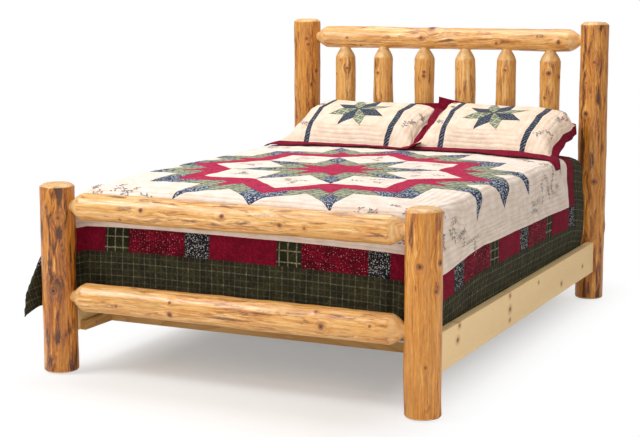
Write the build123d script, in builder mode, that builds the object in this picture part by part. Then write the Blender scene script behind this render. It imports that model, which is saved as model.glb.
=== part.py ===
from build123d import *
from math import cos, pi, sin
import os

# Rustic log bed, queen size. Millimetres, +Z up, head end towards +Y.
# The origin is on the floor, midway between the four posts.

# Overall layout: the bedding sets how far apart the rails and posts stand
bedding_width = 1524.0
bedding_length = 2032.0
head_post_height = 1361.0
foot_post_height = 760.0
post_radius = 68.0
post_gap = 40.0
post_inset = 14.0

# Posts
glide_radius = 24.0
glide_height = 6.0
top_bevel_height = 14.0
top_bevel_width = 18.0
base_bevel = 5.0
post_swell = 0.012
post_bow = 2.0

# Cross logs of the headboard and footboard: the upper ones by their drop below the post tops
foot_rail_upper_drop = 87.0
foot_rail_lower_z = 310.0
head_rail_upper_drop = 94.0
head_rail_lower_z = 560.0
foot_rail_upper_radius = 54.0
foot_rail_lower_radius = 58.0
head_rail_upper_radius = 55.0
head_rail_lower_radius = 52.0
rail_swell = 0.02
rail_bow = 3.0
rail_point_length = 50.0
rail_tenon_radius = 22.0
rail_tenon_depth = 70.0

# Headboard spindles
spindle_count = 6
spindle_radius = 50.0
spindle_swell = 0.05
spindle_bow = 3.0
spindle_point_length = 48.0
spindle_tenon_radius = 24.0
spindle_tenon_depth = 36.0

# Peeled logs: facets round them, stretches along them, their pencil points and tenon fits
log_facets = 12
log_stretches = 5
point_crown = 4.0
point_tip_step = 1.5
tenon_clearance = 0.2
tenon_end_gap = 1.0
shoulder_gap = 2.0

# Side rails of sawn pine
side_rail_height = 147.0
side_rail_thickness = 38.0
side_rail_bottom = 143.0
side_rail_clearance = 8.0
side_rail_easing = 3.0
rail_seat_depth = 8.0

# Ledgers, cross supports and centre leg under the box spring
ledger_width = 25.0
ledger_height = 38.0
ledger_end_gap = 64.0
support_count = 5
support_thickness = 38.0
support_height = 89.0
support_end_inset = 226.0
support_clearance = 1.0
leg_width = 64.0
leg_thickness = 38.0
leg_lap = 60.0
leg_glide_radius = 15.0
leg_bolt_pitch = 30.0

# Knock-down fittings between side rails and posts
plate_width = 22.0
plate_height = 128.0
plate_thickness = 3.0
hook_pitch = 56.0
hook_thickness = 4.0
hook_reach = 13.0
hook_rise = 10.0
hook_lip = 8.0
slot_clearance = 0.5

# Hexagon bolts of the centre leg
leg_bolt_radius = 4.0
leg_bolt_head = 9.0
leg_bolt_head_height = 4.0
leg_bolt_length = 76.0
bolt_clearance = 0.2

# Bedding
bedding_corner = 50.0
bedding_gap = 0.3
box_spring_height = 229.0
box_spring_skin = 4.0
box_spring_edge = 12.0
box_frame_board = 18.0
box_frame_slat_width = 70.0
box_frame_slat_count = 9
mattress_height = 271.0
mattress_skin = 25.0
mattress_edge = 30.0
quilt_thickness = 6.0
quilt_hem_z = 238.0
quilt_foot_overhang = 8.0
quilt_left_flare = 56.0
pillow_side_inset = 66.0
pillow_gap = 12.0
pillow_depth = 300.0
pillow_back_gap = 5.0
pillow_back_height = 150.0
pillow_height = 190.0
pillow_front_height = 62.0
pillow_top_width = 58.0
pillow_rounding = 24.0

# Places worked out from the dimensions above
side_rail_inner_x = bedding_width / 2 + side_rail_clearance
side_rail_mid_x = side_rail_inner_x + side_rail_thickness / 2
post_x = side_rail_mid_x - post_inset
post_y = bedding_length / 2 + post_gap + post_radius
foot_rail_upper_z = foot_post_height - foot_rail_upper_drop
head_rail_upper_z = head_post_height - head_rail_upper_drop
side_rail_mid_z = side_rail_bottom + side_rail_height / 2
side_rail_end_y = post_y - post_radius + rail_seat_depth
rail_tip_x = post_x - post_radius * (1 + post_swell) - post_bow - shoulder_gap
ledger_inner_x = side_rail_inner_x - ledger_width
support_top = side_rail_bottom + support_height
upper_mouth_z = head_rail_upper_z - head_rail_upper_radius
lower_mouth_z = head_rail_lower_z + head_rail_lower_radius
upper_tip_z = upper_mouth_z - head_rail_upper_radius * rail_swell - rail_bow - shoulder_gap
lower_tip_z = lower_mouth_z + head_rail_lower_radius * rail_swell + rail_bow + shoulder_gap
box_spring_bottom = support_top + bedding_gap
mattress_bottom = box_spring_bottom + box_spring_height + bedding_gap
quilt_bottom = mattress_bottom + mattress_height + bedding_gap
quilt_top = quilt_bottom + quilt_thickness
pillow_bottom = quilt_top + bedding_gap
pillow_width = (bedding_width - pillow_gap) / 2 - pillow_side_inset
pillow_back_y = post_y - spindle_radius * (1 + spindle_swell) - spindle_bow - pillow_back_gap
sides = {"left": -1, "right": 1}
corners = [(side, end) for side in sides.values() for end in (-1, 1)]
ends = {
    "head": (1, head_post_height, (head_rail_lower_z, head_rail_upper_z)),
    "foot": (-1, foot_post_height, (foot_rail_lower_z, foot_rail_upper_z)),
}
align_low = (Align.CENTER, Align.CENTER, Align.MIN)


def spread(count, run):
    """Evenly spaced places along a run that is centred on zero."""
    return [run * (index / (count - 1) - 0.5) for index in range(count)]


spindle_pitch = 2 * post_x / (spindle_count + 1)
spindle_places = spread(spindle_count, spindle_pitch * (spindle_count - 1))
support_places = spread(support_count, bedding_length - 2 * support_end_inset)


def stem_rings(run, radius, swell, bow, phase):
    """Rings of a stem from z = 0 to its run, as (z, radius, lean): it swells and bows a little."""
    rings = []
    for stretch in range(log_stretches + 1):
        share = stretch / log_stretches
        ring_radius = radius * (1 + swell * sin(7.0 * share + phase))
        rings.append((share * run, ring_radius, bow * sin(pi * share)))
    return rings


def peeled_log(rings, phase):
    """A log peeled with a drawknife: flat facets between rings, leaning towards its phase."""
    angles = [2 * pi * facet / log_facets for facet in range(log_facets)]
    loops = [
        [
            (lean * cos(phase) + radius * cos(angle), lean * sin(phase) + radius * sin(angle), z)
            for angle in angles
        ]
        for z, radius, lean in rings
    ]
    facets = [
        Face(Wire.make_polygon([low[i - 1], low[i], high[i], high[i - 1]]))
        for low, high in zip(loops, loops[1:])
        for i in range(log_facets)
    ]
    caps = [Face(Wire.make_polygon(loop)) for loop in (loops[0], loops[-1])]
    return Solid(Shell(facets + caps))


def post_log(height, phase):
    """A post from its floor glide up, with a small bevel at its foot and a large one on top."""
    stem = stem_rings(height - top_bevel_height - base_bevel, post_radius, post_swell, post_bow, phase)
    top_radius = stem[-1][1] - top_bevel_width
    rings = [(0, stem[0][1] - base_bevel, 0)]
    rings += [(z + base_bevel, radius, lean) for z, radius, lean in stem]
    rings += [(height, top_radius, 0)]
    return peeled_log(rings, phase)


def pointed_log(run, radius, swell, bow, phase, point_length, tenon_radius, tenon_lengths):
    """A log of this run between its shoulders, with a pencil point and a tenon at each end."""
    stem = stem_rings(run, radius, swell, bow, phase)
    tip_radius = tenon_radius + point_tip_step
    start_knuckle = (stem[0][1] + tip_radius) / 2 + point_crown
    end_knuckle = (stem[-1][1] + tip_radius) / 2 + point_crown
    rings = [(-point_length, tip_radius, 0), (-point_length / 2, start_knuckle, 0)]
    rings += stem
    rings += [(run + point_length / 2, end_knuckle, 0), (run + point_length, tip_radius, 0)]
    start_tenon, end_tenon = tenon_lengths
    with BuildPart() as stick:
        add(peeled_log(rings, phase))
        with Locations((0, 0, run + point_length)):
            Cylinder(tenon_radius, end_tenon, align=align_low)
        with Locations((0, 0, -point_length - start_tenon)):
            Cylinder(tenon_radius, start_tenon, align=align_low)
    return stick.part


def padded_block(width, length, height, bottom, corner, edge):
    """A block of bedding with rounded corners and softened top and bottom edges."""
    with BuildPart() as block:
        with BuildSketch(Plane.XY.offset(bottom)):
            RectangleRounded(width, length, corner)
        extrude(amount=height)
        faces = block.faces().sort_by(Axis.Z)
        chamfer(faces[0].edges() + faces[-1].edges(), edge)
    return block.part


def hollow_block(width, length, height, bottom, corner, edge, skin):
    """A padded block that is empty inside its skin."""
    with BuildPart() as block:
        add(padded_block(width, length, height, bottom, corner, edge))
        add(
            padded_block(
                width - 2 * skin, length - 2 * skin, height - 2 * skin, bottom + skin,
                corner - skin, max(edge - skin, 1.0),
            ),
            mode=Mode.SUBTRACT,
        )
    return block.part


def save(part, name):
    """Label a finished piece and write its file."""
    part.label = name
    export_step(part, f"parts/{name}.step")


os.makedirs("parts", exist_ok=True)

# The hooks of the four rail ends, by side, end and height
hook_places = [
    (side, end, side_rail_mid_z + offset)
    for side, end in corners
    for offset in spread(2, hook_pitch)
]
leg_back_y = support_thickness / 2 + leg_thickness
leg_bolt_places = [
    Location((x, leg_back_y, side_rail_bottom + leg_lap / 2), (90, 0, 0))
    for x in spread(2, leg_bolt_pitch)
]

# Posts: bevelled logs with sockets for the cross logs and a flat seat for the side rail
socket_depth = 2 * post_radius + rail_tenon_depth + tenon_end_gap
seat_height = side_rail_height + hook_lip + slot_clearance
pocket_height = hook_rise + 2 * hook_lip + 2 * slot_clearance
for end_name, (end, height, cross_log_heights) in ends.items():
    for side_name, side in sides.items():
        phase = 1.3 * end + 0.7 * side
        with BuildPart() as post:
            with Locations((side * post_x, end * post_y, glide_height)):
                add(post_log(height - glide_height, phase))
            for z in cross_log_heights:
                mouth_x = side * (post_x - 3 * post_radius)
                with Locations(Location((mouth_x, end * post_y, z), (0, 90 * side, 0))):
                    Cylinder(
                        rail_tenon_radius + tenon_clearance, socket_depth,
                        align=align_low, mode=Mode.SUBTRACT,
                    )
            seat_middle = (
                side * post_x, end * (side_rail_end_y - post_radius / 2),
                side_rail_bottom + seat_height / 2,
            )
            with Locations(seat_middle):
                Box(2.2 * post_radius, post_radius, seat_height, mode=Mode.SUBTRACT)
            plate_y = end * (side_rail_end_y + plate_thickness / 2)
            with Locations((side * side_rail_mid_x, plate_y, side_rail_mid_z)):
                Box(plate_width, plate_thickness, plate_height, mode=Mode.SUBTRACT)
            for offset in spread(2, hook_pitch):
                pocket_middle = (
                    side * side_rail_mid_x, end * (side_rail_end_y + hook_reach / 2 + slot_clearance),
                    side_rail_mid_z + offset + hook_lip / 2,
                )
                with Locations(pocket_middle):
                    Box(
                        hook_thickness + 2 * slot_clearance, hook_reach + 2 * slot_clearance,
                        pocket_height + hook_rise, mode=Mode.SUBTRACT,
                    )
        save(post.part, f"{end_name}_post_{side_name}")

# Cross logs of the headboard and footboard
cross_logs = (
    ("foot_rail_upper", -1, foot_rail_upper_z, foot_rail_upper_radius, 0.4),
    ("foot_rail_lower", -1, foot_rail_lower_z, foot_rail_lower_radius, 2.1),
    ("head_rail_upper", 1, head_rail_upper_z, head_rail_upper_radius, 3.3),
    ("head_rail_lower", 1, head_rail_lower_z, head_rail_lower_radius, 5.0),
)
spindle_mouths = {
    "head_rail_upper": (upper_mouth_z - head_rail_upper_radius, 0),
    "head_rail_lower": (lower_mouth_z + head_rail_lower_radius, 180),
}
cross_log_tenon = post_x - post_radius + rail_tenon_depth - rail_tip_x
cross_log_shoulder = rail_tip_x - rail_point_length
for name, end, height, radius, phase in cross_logs:
    with BuildPart() as cross_log:
        with Locations(Location((-cross_log_shoulder, end * post_y, height), (0, 90, 0))):
            add(
                pointed_log(
                    2 * cross_log_shoulder, radius, rail_swell, rail_bow, phase, rail_point_length,
                    rail_tenon_radius, (cross_log_tenon, cross_log_tenon),
                )
            )
        if name in spindle_mouths:
            mouth_z, turn = spindle_mouths[name]
            with Locations(*[Location((x, post_y, mouth_z), (turn, 0, 0)) for x in spindle_places]):
                Cylinder(
                    spindle_tenon_radius + tenon_clearance,
                    radius + spindle_tenon_depth + tenon_end_gap,
                    align=align_low, mode=Mode.SUBTRACT,
                )
    save(cross_log.part, name)

# Spindles, each a little different
spindle_tenons = (
    lower_tip_z - lower_mouth_z + spindle_tenon_depth,
    upper_mouth_z + spindle_tenon_depth - upper_tip_z,
)
spindle_run = upper_tip_z - lower_tip_z - 2 * spindle_point_length
for number, x in enumerate(spindle_places, start=1):
    with BuildPart() as spindle:
        with Locations((x, post_y, lower_tip_z + spindle_point_length)):
            add(
                pointed_log(
                    spindle_run, spindle_radius, spindle_swell, spindle_bow, 1.9 * number,
                    spindle_point_length, spindle_tenon_radius, spindle_tenons,
                )
            )
    save(spindle.part, f"head_spindle_{number}")

# Side rails: sawn boards with eased edges, let in at each end for the hook plates
for side_name, side in sides.items():
    with BuildPart() as side_rail:
        with Locations((side * side_rail_mid_x, 0, side_rail_mid_z)):
            Box(side_rail_thickness, 2 * side_rail_end_y, side_rail_height)
        fillet(side_rail.edges().filter_by(Axis.Y), side_rail_easing)
        for end in (-1, 1):
            plate_y = end * (side_rail_end_y - plate_thickness / 2)
            with Locations((side * side_rail_mid_x, plate_y, side_rail_mid_z)):
                Box(plate_width, plate_thickness, plate_height, mode=Mode.SUBTRACT)
    save(side_rail.part, f"side_rail_{side_name}")

    with BuildPart() as ledger:
        with Locations(
            (side * (ledger_inner_x + ledger_width / 2), 0, side_rail_bottom + ledger_height / 2)
        ):
            Box(ledger_width, 2 * (side_rail_end_y - ledger_end_gap), ledger_height)
    save(ledger.part, f"ledger_{side_name}")

# Cross supports: bars on edge, notched over the ledgers
support_half = side_rail_inner_x - support_clearance
for number, y in enumerate(support_places, start=1):
    with BuildPart() as support:
        with Locations((0, y, side_rail_bottom + support_height / 2)):
            Box(2 * support_half, support_thickness, support_height)
        for side in sides.values():
            notch_inner = ledger_inner_x - support_clearance
            notch = (side * (notch_inner + ledger_width), y, side_rail_bottom + ledger_height / 2)
            with Locations(notch):
                Box(2 * ledger_width, 2 * support_thickness, ledger_height, mode=Mode.SUBTRACT)
        with Locations(*leg_bolt_places):
            Cylinder(leg_bolt_radius + bolt_clearance, 2 * leg_bolt_length, mode=Mode.SUBTRACT)
    save(support.part, f"cross_support_{number}")

with BuildPart() as centre_leg:
    leg_height = side_rail_bottom + leg_lap - glide_height
    with Locations((0, leg_back_y - leg_thickness / 2, glide_height + leg_height / 2)):
        Box(leg_width, leg_thickness, leg_height)
    with Locations(*leg_bolt_places):
        Cylinder(leg_bolt_radius + bolt_clearance, 2 * leg_bolt_length, mode=Mode.SUBTRACT)
save(centre_leg.part, "centre_leg")

with BuildPart() as leg_bolts:
    with Locations(*leg_bolt_places):
        Cylinder(leg_bolt_radius, leg_bolt_length, align=align_low)
    for place in leg_bolt_places:
        with BuildSketch(Plane(place)):
            RegularPolygon(leg_bolt_head, 6)
        extrude(amount=-leg_bolt_head_height)
save(leg_bolts.part, "leg_bolts")

with BuildPart() as floor_glides:
    post_feet = [(side * post_x, end * post_y, glide_height / 2) for side, end in corners]
    with Locations(*post_feet):
        Cylinder(glide_radius, glide_height)
    with Locations((0, leg_back_y - leg_thickness / 2, glide_height / 2)):
        Cylinder(leg_glide_radius, glide_height)
save(floor_glides.part, "floor_glides")

# Hook plates in the rail ends: each hook reaches through its slot and hangs on the slot's foot
with BuildPart() as rail_hook_plates:
    for side, end in corners:
        plate_y = end * (side_rail_end_y - plate_thickness / 2)
        with Locations((side * side_rail_mid_x, plate_y, side_rail_mid_z)):
            Box(plate_width, plate_thickness, plate_height)
    for side, end, hook_z in hook_places:
        lip_y = plate_thickness + slot_clearance
        with BuildSketch(Plane.YZ.offset(side * side_rail_mid_x)):
            with BuildLine():
                outline = [
                    (0, hook_rise), (hook_reach - hook_rise / 2, hook_rise),
                    (hook_reach, hook_rise / 2), (hook_reach, -hook_lip), (lip_y, -hook_lip),
                    (lip_y, 0), (0, 0),
                ]
                Polyline(
                    *[(end * (side_rail_end_y + out), hook_z + up) for out, up in outline], close=True
                )
            make_face()
        extrude(amount=hook_thickness / 2, both=True)
save(rail_hook_plates.part, "rail_hook_plates")

with BuildPart() as post_slot_plates:
    for side, end in corners:
        plate_y = end * (side_rail_end_y + plate_thickness / 2)
        with Locations((side * side_rail_mid_x, plate_y, side_rail_mid_z)):
            Box(plate_width, plate_thickness, plate_height)
    for side, end, hook_z in hook_places:
        slot_height = hook_rise + hook_lip + slot_clearance
        plate_y = end * (side_rail_end_y + plate_thickness / 2)
        with Locations((side * side_rail_mid_x, plate_y, hook_z + slot_height / 2)):
            Box(
                hook_thickness + 2 * slot_clearance, plate_thickness, slot_height,
                mode=Mode.SUBTRACT,
            )
save(post_slot_plates.part, "post_slot_plates")

# Box spring: a slatted wood frame in a fabric cover
with BuildPart() as box_spring_frame:
    frame_bottom = box_spring_bottom + box_spring_skin + bedding_gap
    frame_height = box_spring_height - 2 * (box_spring_skin + bedding_gap)
    frame_inset = 2 * (box_spring_edge + bedding_gap)
    with BuildSketch(Plane.XY.offset(frame_bottom)):
        RectangleRounded(
            bedding_width - frame_inset, bedding_length - frame_inset, bedding_corner - box_spring_edge
        )
        Rectangle(
            bedding_width - frame_inset - 2 * box_frame_board,
            bedding_length - frame_inset - 2 * box_frame_board, mode=Mode.SUBTRACT,
        )
    extrude(amount=frame_height)
    slat_run = bedding_length - frame_inset - box_frame_slat_width - 2 * box_frame_board
    slat_z = frame_bottom + frame_height - box_frame_board / 2
    with Locations(*[(0, y, slat_z) for y in spread(box_frame_slat_count, slat_run)]):
        Box(bedding_width - frame_inset - box_frame_board, box_frame_slat_width, box_frame_board)
save(box_spring_frame.part, "box_spring_frame")

with BuildPart() as box_spring_cover:
    add(
        hollow_block(
            bedding_width, bedding_length, box_spring_height, box_spring_bottom,
            bedding_corner, box_spring_edge, box_spring_skin,
        )
    )
save(box_spring_cover.part, "box_spring_cover")

with BuildPart() as mattress:
    add(
        hollow_block(
            bedding_width, bedding_length, mattress_height, mattress_bottom,
            bedding_corner, mattress_edge, mattress_skin,
        )
    )
save(mattress.part, "mattress")

# Quilt: over the mattress, tucked inside the right rail and the footboard, outside the left rail
half_width = bedding_width / 2 + bedding_gap
with BuildPart() as quilt:
    left_hem = half_width + quilt_left_flare
    foot_y = -bedding_length / 2 - bedding_gap - quilt_foot_overhang
    with BuildSketch(Plane.XZ.offset(-bedding_length / 2)):
        with BuildLine():
            Polyline(
                (-half_width, quilt_bottom), (half_width, quilt_bottom), (half_width, quilt_hem_z),
                (half_width + quilt_thickness, quilt_hem_z),
                (half_width + quilt_thickness, quilt_top),
                (-half_width - quilt_thickness, quilt_top),
                (-left_hem - quilt_thickness, quilt_hem_z), (-left_hem, quilt_hem_z),
                (-half_width, quilt_bottom),
            )
        make_face()
    extrude(amount=bedding_length / 2 - foot_y)
    foot_wall_y = foot_y - quilt_thickness / 2
    with Locations((0, foot_wall_y, (quilt_hem_z + quilt_top) / 2)):
        Box(2 * (half_width + quilt_thickness), quilt_thickness, quilt_top - quilt_hem_z)
save(quilt.part, "quilt")

# Pillows in their shams, on the quilt and against the spindles
pillow_front_y = pillow_back_y - pillow_depth
pillow_profile = [
    (pillow_front_y, 0), (pillow_back_y, 0), (pillow_back_y, pillow_back_height),
    (pillow_back_y - pillow_rounding, pillow_height),
    (pillow_back_y - pillow_rounding - pillow_top_width, pillow_height),
    (pillow_front_y, pillow_front_height),
]
for side_name, side in sides.items():
    with BuildPart() as pillow:
        with BuildSketch(Plane.YZ.offset(side * (pillow_width + pillow_gap) / 2)) as section:
            with BuildLine():
                Polyline(*[(y, pillow_bottom + z) for y, z in pillow_profile], close=True)
            make_face()
            fillet(section.vertices(), pillow_rounding / 2)
        extrude(amount=pillow_width / 2, both=True)
    save(pillow.part, f"pillow_{side_name}")
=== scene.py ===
import math
import random

import bpy
import bmesh
import numpy as np
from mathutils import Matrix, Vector
from mathutils.geometry import delaunay_2d_cdt
from mathutils.kdtree import KDTree


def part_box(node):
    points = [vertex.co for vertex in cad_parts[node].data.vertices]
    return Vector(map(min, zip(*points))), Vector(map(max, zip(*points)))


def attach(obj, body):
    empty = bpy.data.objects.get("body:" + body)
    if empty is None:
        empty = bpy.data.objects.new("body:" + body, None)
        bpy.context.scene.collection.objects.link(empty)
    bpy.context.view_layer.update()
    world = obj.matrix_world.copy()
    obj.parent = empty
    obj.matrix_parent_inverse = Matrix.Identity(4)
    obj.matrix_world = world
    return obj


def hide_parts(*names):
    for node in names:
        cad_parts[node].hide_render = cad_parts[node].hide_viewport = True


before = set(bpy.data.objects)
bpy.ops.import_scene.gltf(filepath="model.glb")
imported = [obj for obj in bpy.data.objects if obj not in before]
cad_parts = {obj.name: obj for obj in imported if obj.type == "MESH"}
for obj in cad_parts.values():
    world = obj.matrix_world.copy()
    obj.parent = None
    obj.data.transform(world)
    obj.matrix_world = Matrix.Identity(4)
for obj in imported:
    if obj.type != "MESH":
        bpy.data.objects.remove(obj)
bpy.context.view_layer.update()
collection = bpy.context.scene.collection


# Node trees

def plug(source, target):
    target.id_data.links.new(source, target)


def makeNode(tree, kind, **settings):
    node = tree.nodes.new(kind)
    for name, value in settings.items():
        setattr(node, name, value)
    return node


def feed(node, inputs):
    # inputs is {socket name or number: value or output socket}
    for key, value in inputs.items():
        if isinstance(value, bpy.types.NodeSocket):
            plug(value, node.inputs[key])
        else:
            node.inputs[key].default_value = value
    return node


def addNode(tree, kind, inputs=None, **settings):
    return feed(makeNode(tree, kind, **settings), inputs or {})


def nodeAfter(kind, inputs, **settings):
    # a node in the tree that the sockets among its inputs belong to
    tree = next(value.id_data for value in inputs.values() if isinstance(value, bpy.types.NodeSocket))
    return addNode(tree, kind, inputs, **settings)


def calc(operation, *values):
    return nodeAfter("ShaderNodeMath", dict(enumerate(values)), operation=operation).outputs[0]


def vectorCalc(operation, *values):
    node = nodeAfter("ShaderNodeVectorMath", dict(enumerate(values)), operation=operation)
    return node.outputs["Value" if operation == "LENGTH" else "Vector"]


def isVector(value):
    return isinstance(value, tuple) or getattr(value, "type", "") in ("VECTOR", "RGBA")


def socketOperator(operation, swapped=False):
    def act(*values):
        kind = vectorCalc if any(isVector(value) for value in values) else calc
        return kind(operation, *(values[::-1] if swapped else values))
    return act


# sockets take part in arithmetic like numbers: each sign makes a node
for sign, operation in (("add", "ADD"), ("sub", "SUBTRACT"), ("mul", "MULTIPLY"), ("truediv", "DIVIDE")):
    setattr(bpy.types.NodeSocket, "__" + sign + "__", socketOperator(operation))
    setattr(bpy.types.NodeSocket, "__r" + sign + "__", socketOperator(operation, swapped=True))
bpy.types.NodeSocket.__abs__ = socketOperator("ABSOLUTE")


def combine(*parts):
    return nodeAfter("ShaderNodeCombineXYZ", dict(enumerate(parts))).outputs[0]


def separate(vector):
    return nodeAfter("ShaderNodeSeparateXYZ", {0: vector}).outputs


def scaled(vector, size):
    return nodeAfter("ShaderNodeVectorMath", {0: vector, "Scale": size}, operation="SCALE").outputs[0]


def noise(place, scale, detail=2.0, rough=0.5, warp=0.0, output=0):
    return nodeAfter("ShaderNodeTexNoise", {
        "Vector": place, "Scale": scale, "Detail": detail, "Roughness": rough, "Distortion": warp}).outputs[output]


def remap(value, fromLow, fromHigh, toLow=0.0, toHigh=1.0, soft=True):
    return nodeAfter("ShaderNodeMapRange", {
        "Value": value, "From Min": fromLow, "From Max": fromHigh, "To Min": toLow, "To Max": toHigh,
    }, interpolation_type="SMOOTHSTEP" if soft else "LINEAR").outputs["Result"]


def rgb(code):
    # a colour as it looks on screen, "e8c27a", in the values that a shader takes
    parts = [int(code[i:i + 2], 16) / 255 for i in (0, 2, 4)]
    return tuple(c / 12.92 if c <= 0.04045 else ((c + 0.055) / 1.055) ** 2.4 for c in parts) + (1.0,)


def mixColour(share, first, second, blend="MIX"):
    first, second = (rgb(colour) if isinstance(colour, str) else colour for colour in (first, second))
    return nodeAfter("ShaderNodeMix", {0: share, 6: first, 7: second}, data_type="RGBA", blend_type=blend).outputs[2]


def ramp(value, stops):
    node = nodeAfter("ShaderNodeValToRGB", {0: value})
    band = node.color_ramp
    while len(band.elements) < len(stops):
        band.elements.new(0.5)
    for element, (place, colour) in zip(band.elements, stops):
        element.position = place
        element.color = rgb(colour)
    return node.outputs[0]


def newTree(name, kind, inputs, outputs):
    # inputs are {name: value or kind of socket}; returns the tree, its input and its output node
    tree = bpy.data.node_groups.new(name, kind + "NodeTree")
    for label, value in inputs.items():
        socketKind = value if isinstance(value, str) else type(value).__name__.title()
        socket = tree.interface.new_socket(label, in_out="INPUT", socket_type="NodeSocket" + socketKind)
        if not isinstance(value, str):
            socket.default_value = value
    socketKind = "NodeSocketGeometry" if kind == "Geometry" else "NodeSocketFloat"
    for label in outputs:
        tree.interface.new_socket(label, in_out="OUTPUT", socket_type=socketKind)
    return tree, tree.nodes.new("NodeGroupInput").outputs, tree.nodes.new("NodeGroupOutput").inputs


def useGroup(group, inputs):
    return nodeAfter("ShaderNodeGroup", inputs, node_tree=group).outputs


def newMaterial(name):
    material = bpy.data.materials.new(name)
    material.use_nodes = True
    tree = material.node_tree
    return material, tree, tree.nodes["Principled BSDF"]


def attribute(tree, name, output="Vector"):
    return makeNode(tree, "ShaderNodeAttribute", attribute_name=name).outputs[output]


def objectPlace(tree):
    return makeNode(tree, "ShaderNodeTexCoord").outputs["Object"]


def addBump(shader, height, strength, distance):
    bump = nodeAfter("ShaderNodeBump", {"Height": height, "Strength": strength, "Distance": distance})
    feed(shader, {"Normal": bump.outputs[0]})


# Camera, floor and light

cameraView = {
    "place": (2.628, -5.861, 1.5223),
    "turn": (1.43698, -0.0016, 0.42436),
    "lens": 82.33,
    "shift": (-0.0469, -0.0523),
}


def makeCamera():
    data = bpy.data.cameras.new("camera")
    data.lens = cameraView["lens"]
    data.shift_x, data.shift_y = cameraView["shift"]
    camera = bpy.data.objects.new("camera", data)
    camera.location = cameraView["place"]
    camera.rotation_euler = cameraView["turn"]
    collection.objects.link(camera)
    bpy.context.scene.camera = camera


studio = {
    "floorColour": "f6f5f4",
    "floorSize": 40.0,
    "worldStrength": 0.42,
    # half size of the ground in the object's shade, and its middle
    "shade": (0.46, 1.70), "shadeMiddle": -0.45, "shadeGlow": 0.30, "shadeEdge": 0.54,
    # name: (place, size, power in watts, aims at, colour)
    "lamps": {
        "keyLamp": ((-2.9, -3.0, 3.9), 1.9, 165.0, (0.0, 0.0, 0.5), "ffffff"),
        "topLamp": ((-0.3, 0.9, 4.6), 2.6, 120.0, (0.0, -0.2, 0.5), "ffffff"),
        "fillLamp": ((3.6, -4.6, 1.9), 2.4, 66.0, (0.2, -0.2, 0.5), "fff0da"),
    },
}


def makeStudio():
    # the floor takes the object's shade nearby and runs out to white
    material, tree, shader = newMaterial("studioFloor")
    feed(shader, {"Base Color": rgb(studio["floorColour"]), "Roughness": 0.9, "Specular IOR Level": 0.1})
    glow = addNode(tree, "ShaderNodeEmission", {"Color": (1.0, 1.0, 1.0, 1.0), "Strength": 1.0})
    centred = abs(objectPlace(tree) + (0.0, -studio["shadeMiddle"], 0.0))
    past = vectorCalc("MAXIMUM", centred - (*studio["shade"], 0.0), (0.0, 0.0, 0.0))
    away = vectorCalc("LENGTH", past)
    share = remap(away, 0.0, studio["shadeEdge"], studio["shadeGlow"], 1.0)
    seenFloor = makeNode(tree, "ShaderNodeLightPath").outputs["Is Camera Ray"]
    mixed = addNode(tree, "ShaderNodeMixShader", {0: share * seenFloor})
    plug(shader.outputs[0], mixed.inputs[1])
    plug(glow.outputs[0], mixed.inputs[2])
    plug(mixed.outputs[0], tree.nodes["Material Output"].inputs["Surface"])
    mesh = bpy.data.meshes.new("floor")
    half = studio["floorSize"] / 2
    mesh.from_pydata([(-half, -half, 0), (half, -half, 0), (half, half, 0), (-half, half, 0)], [], [(0, 1, 2, 3)])
    floor = bpy.data.objects.new("floor", mesh)
    mesh.materials.append(material)
    collection.objects.link(floor)
    # the camera sees white, the object is lit by a plain level
    world = bpy.data.worlds.new("studioWorld")
    world.use_nodes = True
    bpy.context.scene.world = world
    nodes = world.node_tree
    background = nodes.nodes["Background"]
    paths = makeNode(nodes, "ShaderNodeLightPath")
    seen = calc("MAXIMUM", paths.outputs["Is Camera Ray"], paths.outputs["Is Transmission Ray"])
    strength = remap(seen, 0.0, 1.0, studio["worldStrength"], 1.0, soft=False)
    feed(background, {"Strength": strength, "Color": (1, 1, 1, 1)})
    for name, (place, size, power, aim, colour) in studio["lamps"].items():
        data = bpy.data.lights.new(name, "AREA")
        data.color = rgb(colour)[:3]
        data.size = size
        data.energy = power
        lamp = bpy.data.objects.new(name, data)
        lamp.location = place
        lamp.rotation_euler = (Vector(aim) - Vector(place)).to_track_quat("-Z", "Y").to_euler()
        collection.objects.link(lamp)
    bpy.context.scene.view_settings.view_transform = "Standard"


makeCamera()
makeStudio()
print("camera, floor and lamps are set")


# Peeled logs

def makeSolidWood():
    # grain of a whole log: growth rings across it, streaks along it, as values from 0 to 1
    tree, given, result = newTree("solidWood", "Shader", {
        "Place": "Vector", "Streak Width": 0.009, "Streak Length": 0.14, "Ring Width": 0.004,
    }, ("Streaks", "Dashes", "Patches", "Fibres", "Crust", "Rings"))
    across = 1.0 / given["Streak Width"]
    along = 1.0 / given["Streak Length"]
    streakPlace = given["Place"] * combine(across, across, along)
    plug(noise(streakPlace, 1.0, 5.0, 0.62, 0.15), result["Streaks"])
    plug(noise(streakPlace, 1.4, 3.0, 0.55, 0.2), result["Dashes"])
    plug(noise(streakPlace, 0.22, 2.0, 0.5), result["Patches"])
    plug(noise(streakPlace, 5.0, 2.0, 0.6), result["Fibres"])
    # flakes of inner bark, longer than wide, with ragged edges
    crustPlace = given["Place"] * (45.0, 45.0, 9.0)
    plug(noise(crustPlace, 1.0, 5.0, 0.65, 0.3), result["Crust"])
    flat = given["Place"] * (1.0, 1.0, 0.03)
    wobble = noise(flat, 18.0, 2.0, 0.5)
    distance = vectorCalc("LENGTH", flat)
    turns = distance / given["Ring Width"] + wobble * 5.0
    wave = calc("SINE", turns * (2 * math.pi))
    plug(remap(wave, -1.0, 1.0), result["Rings"])
    return tree


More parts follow.
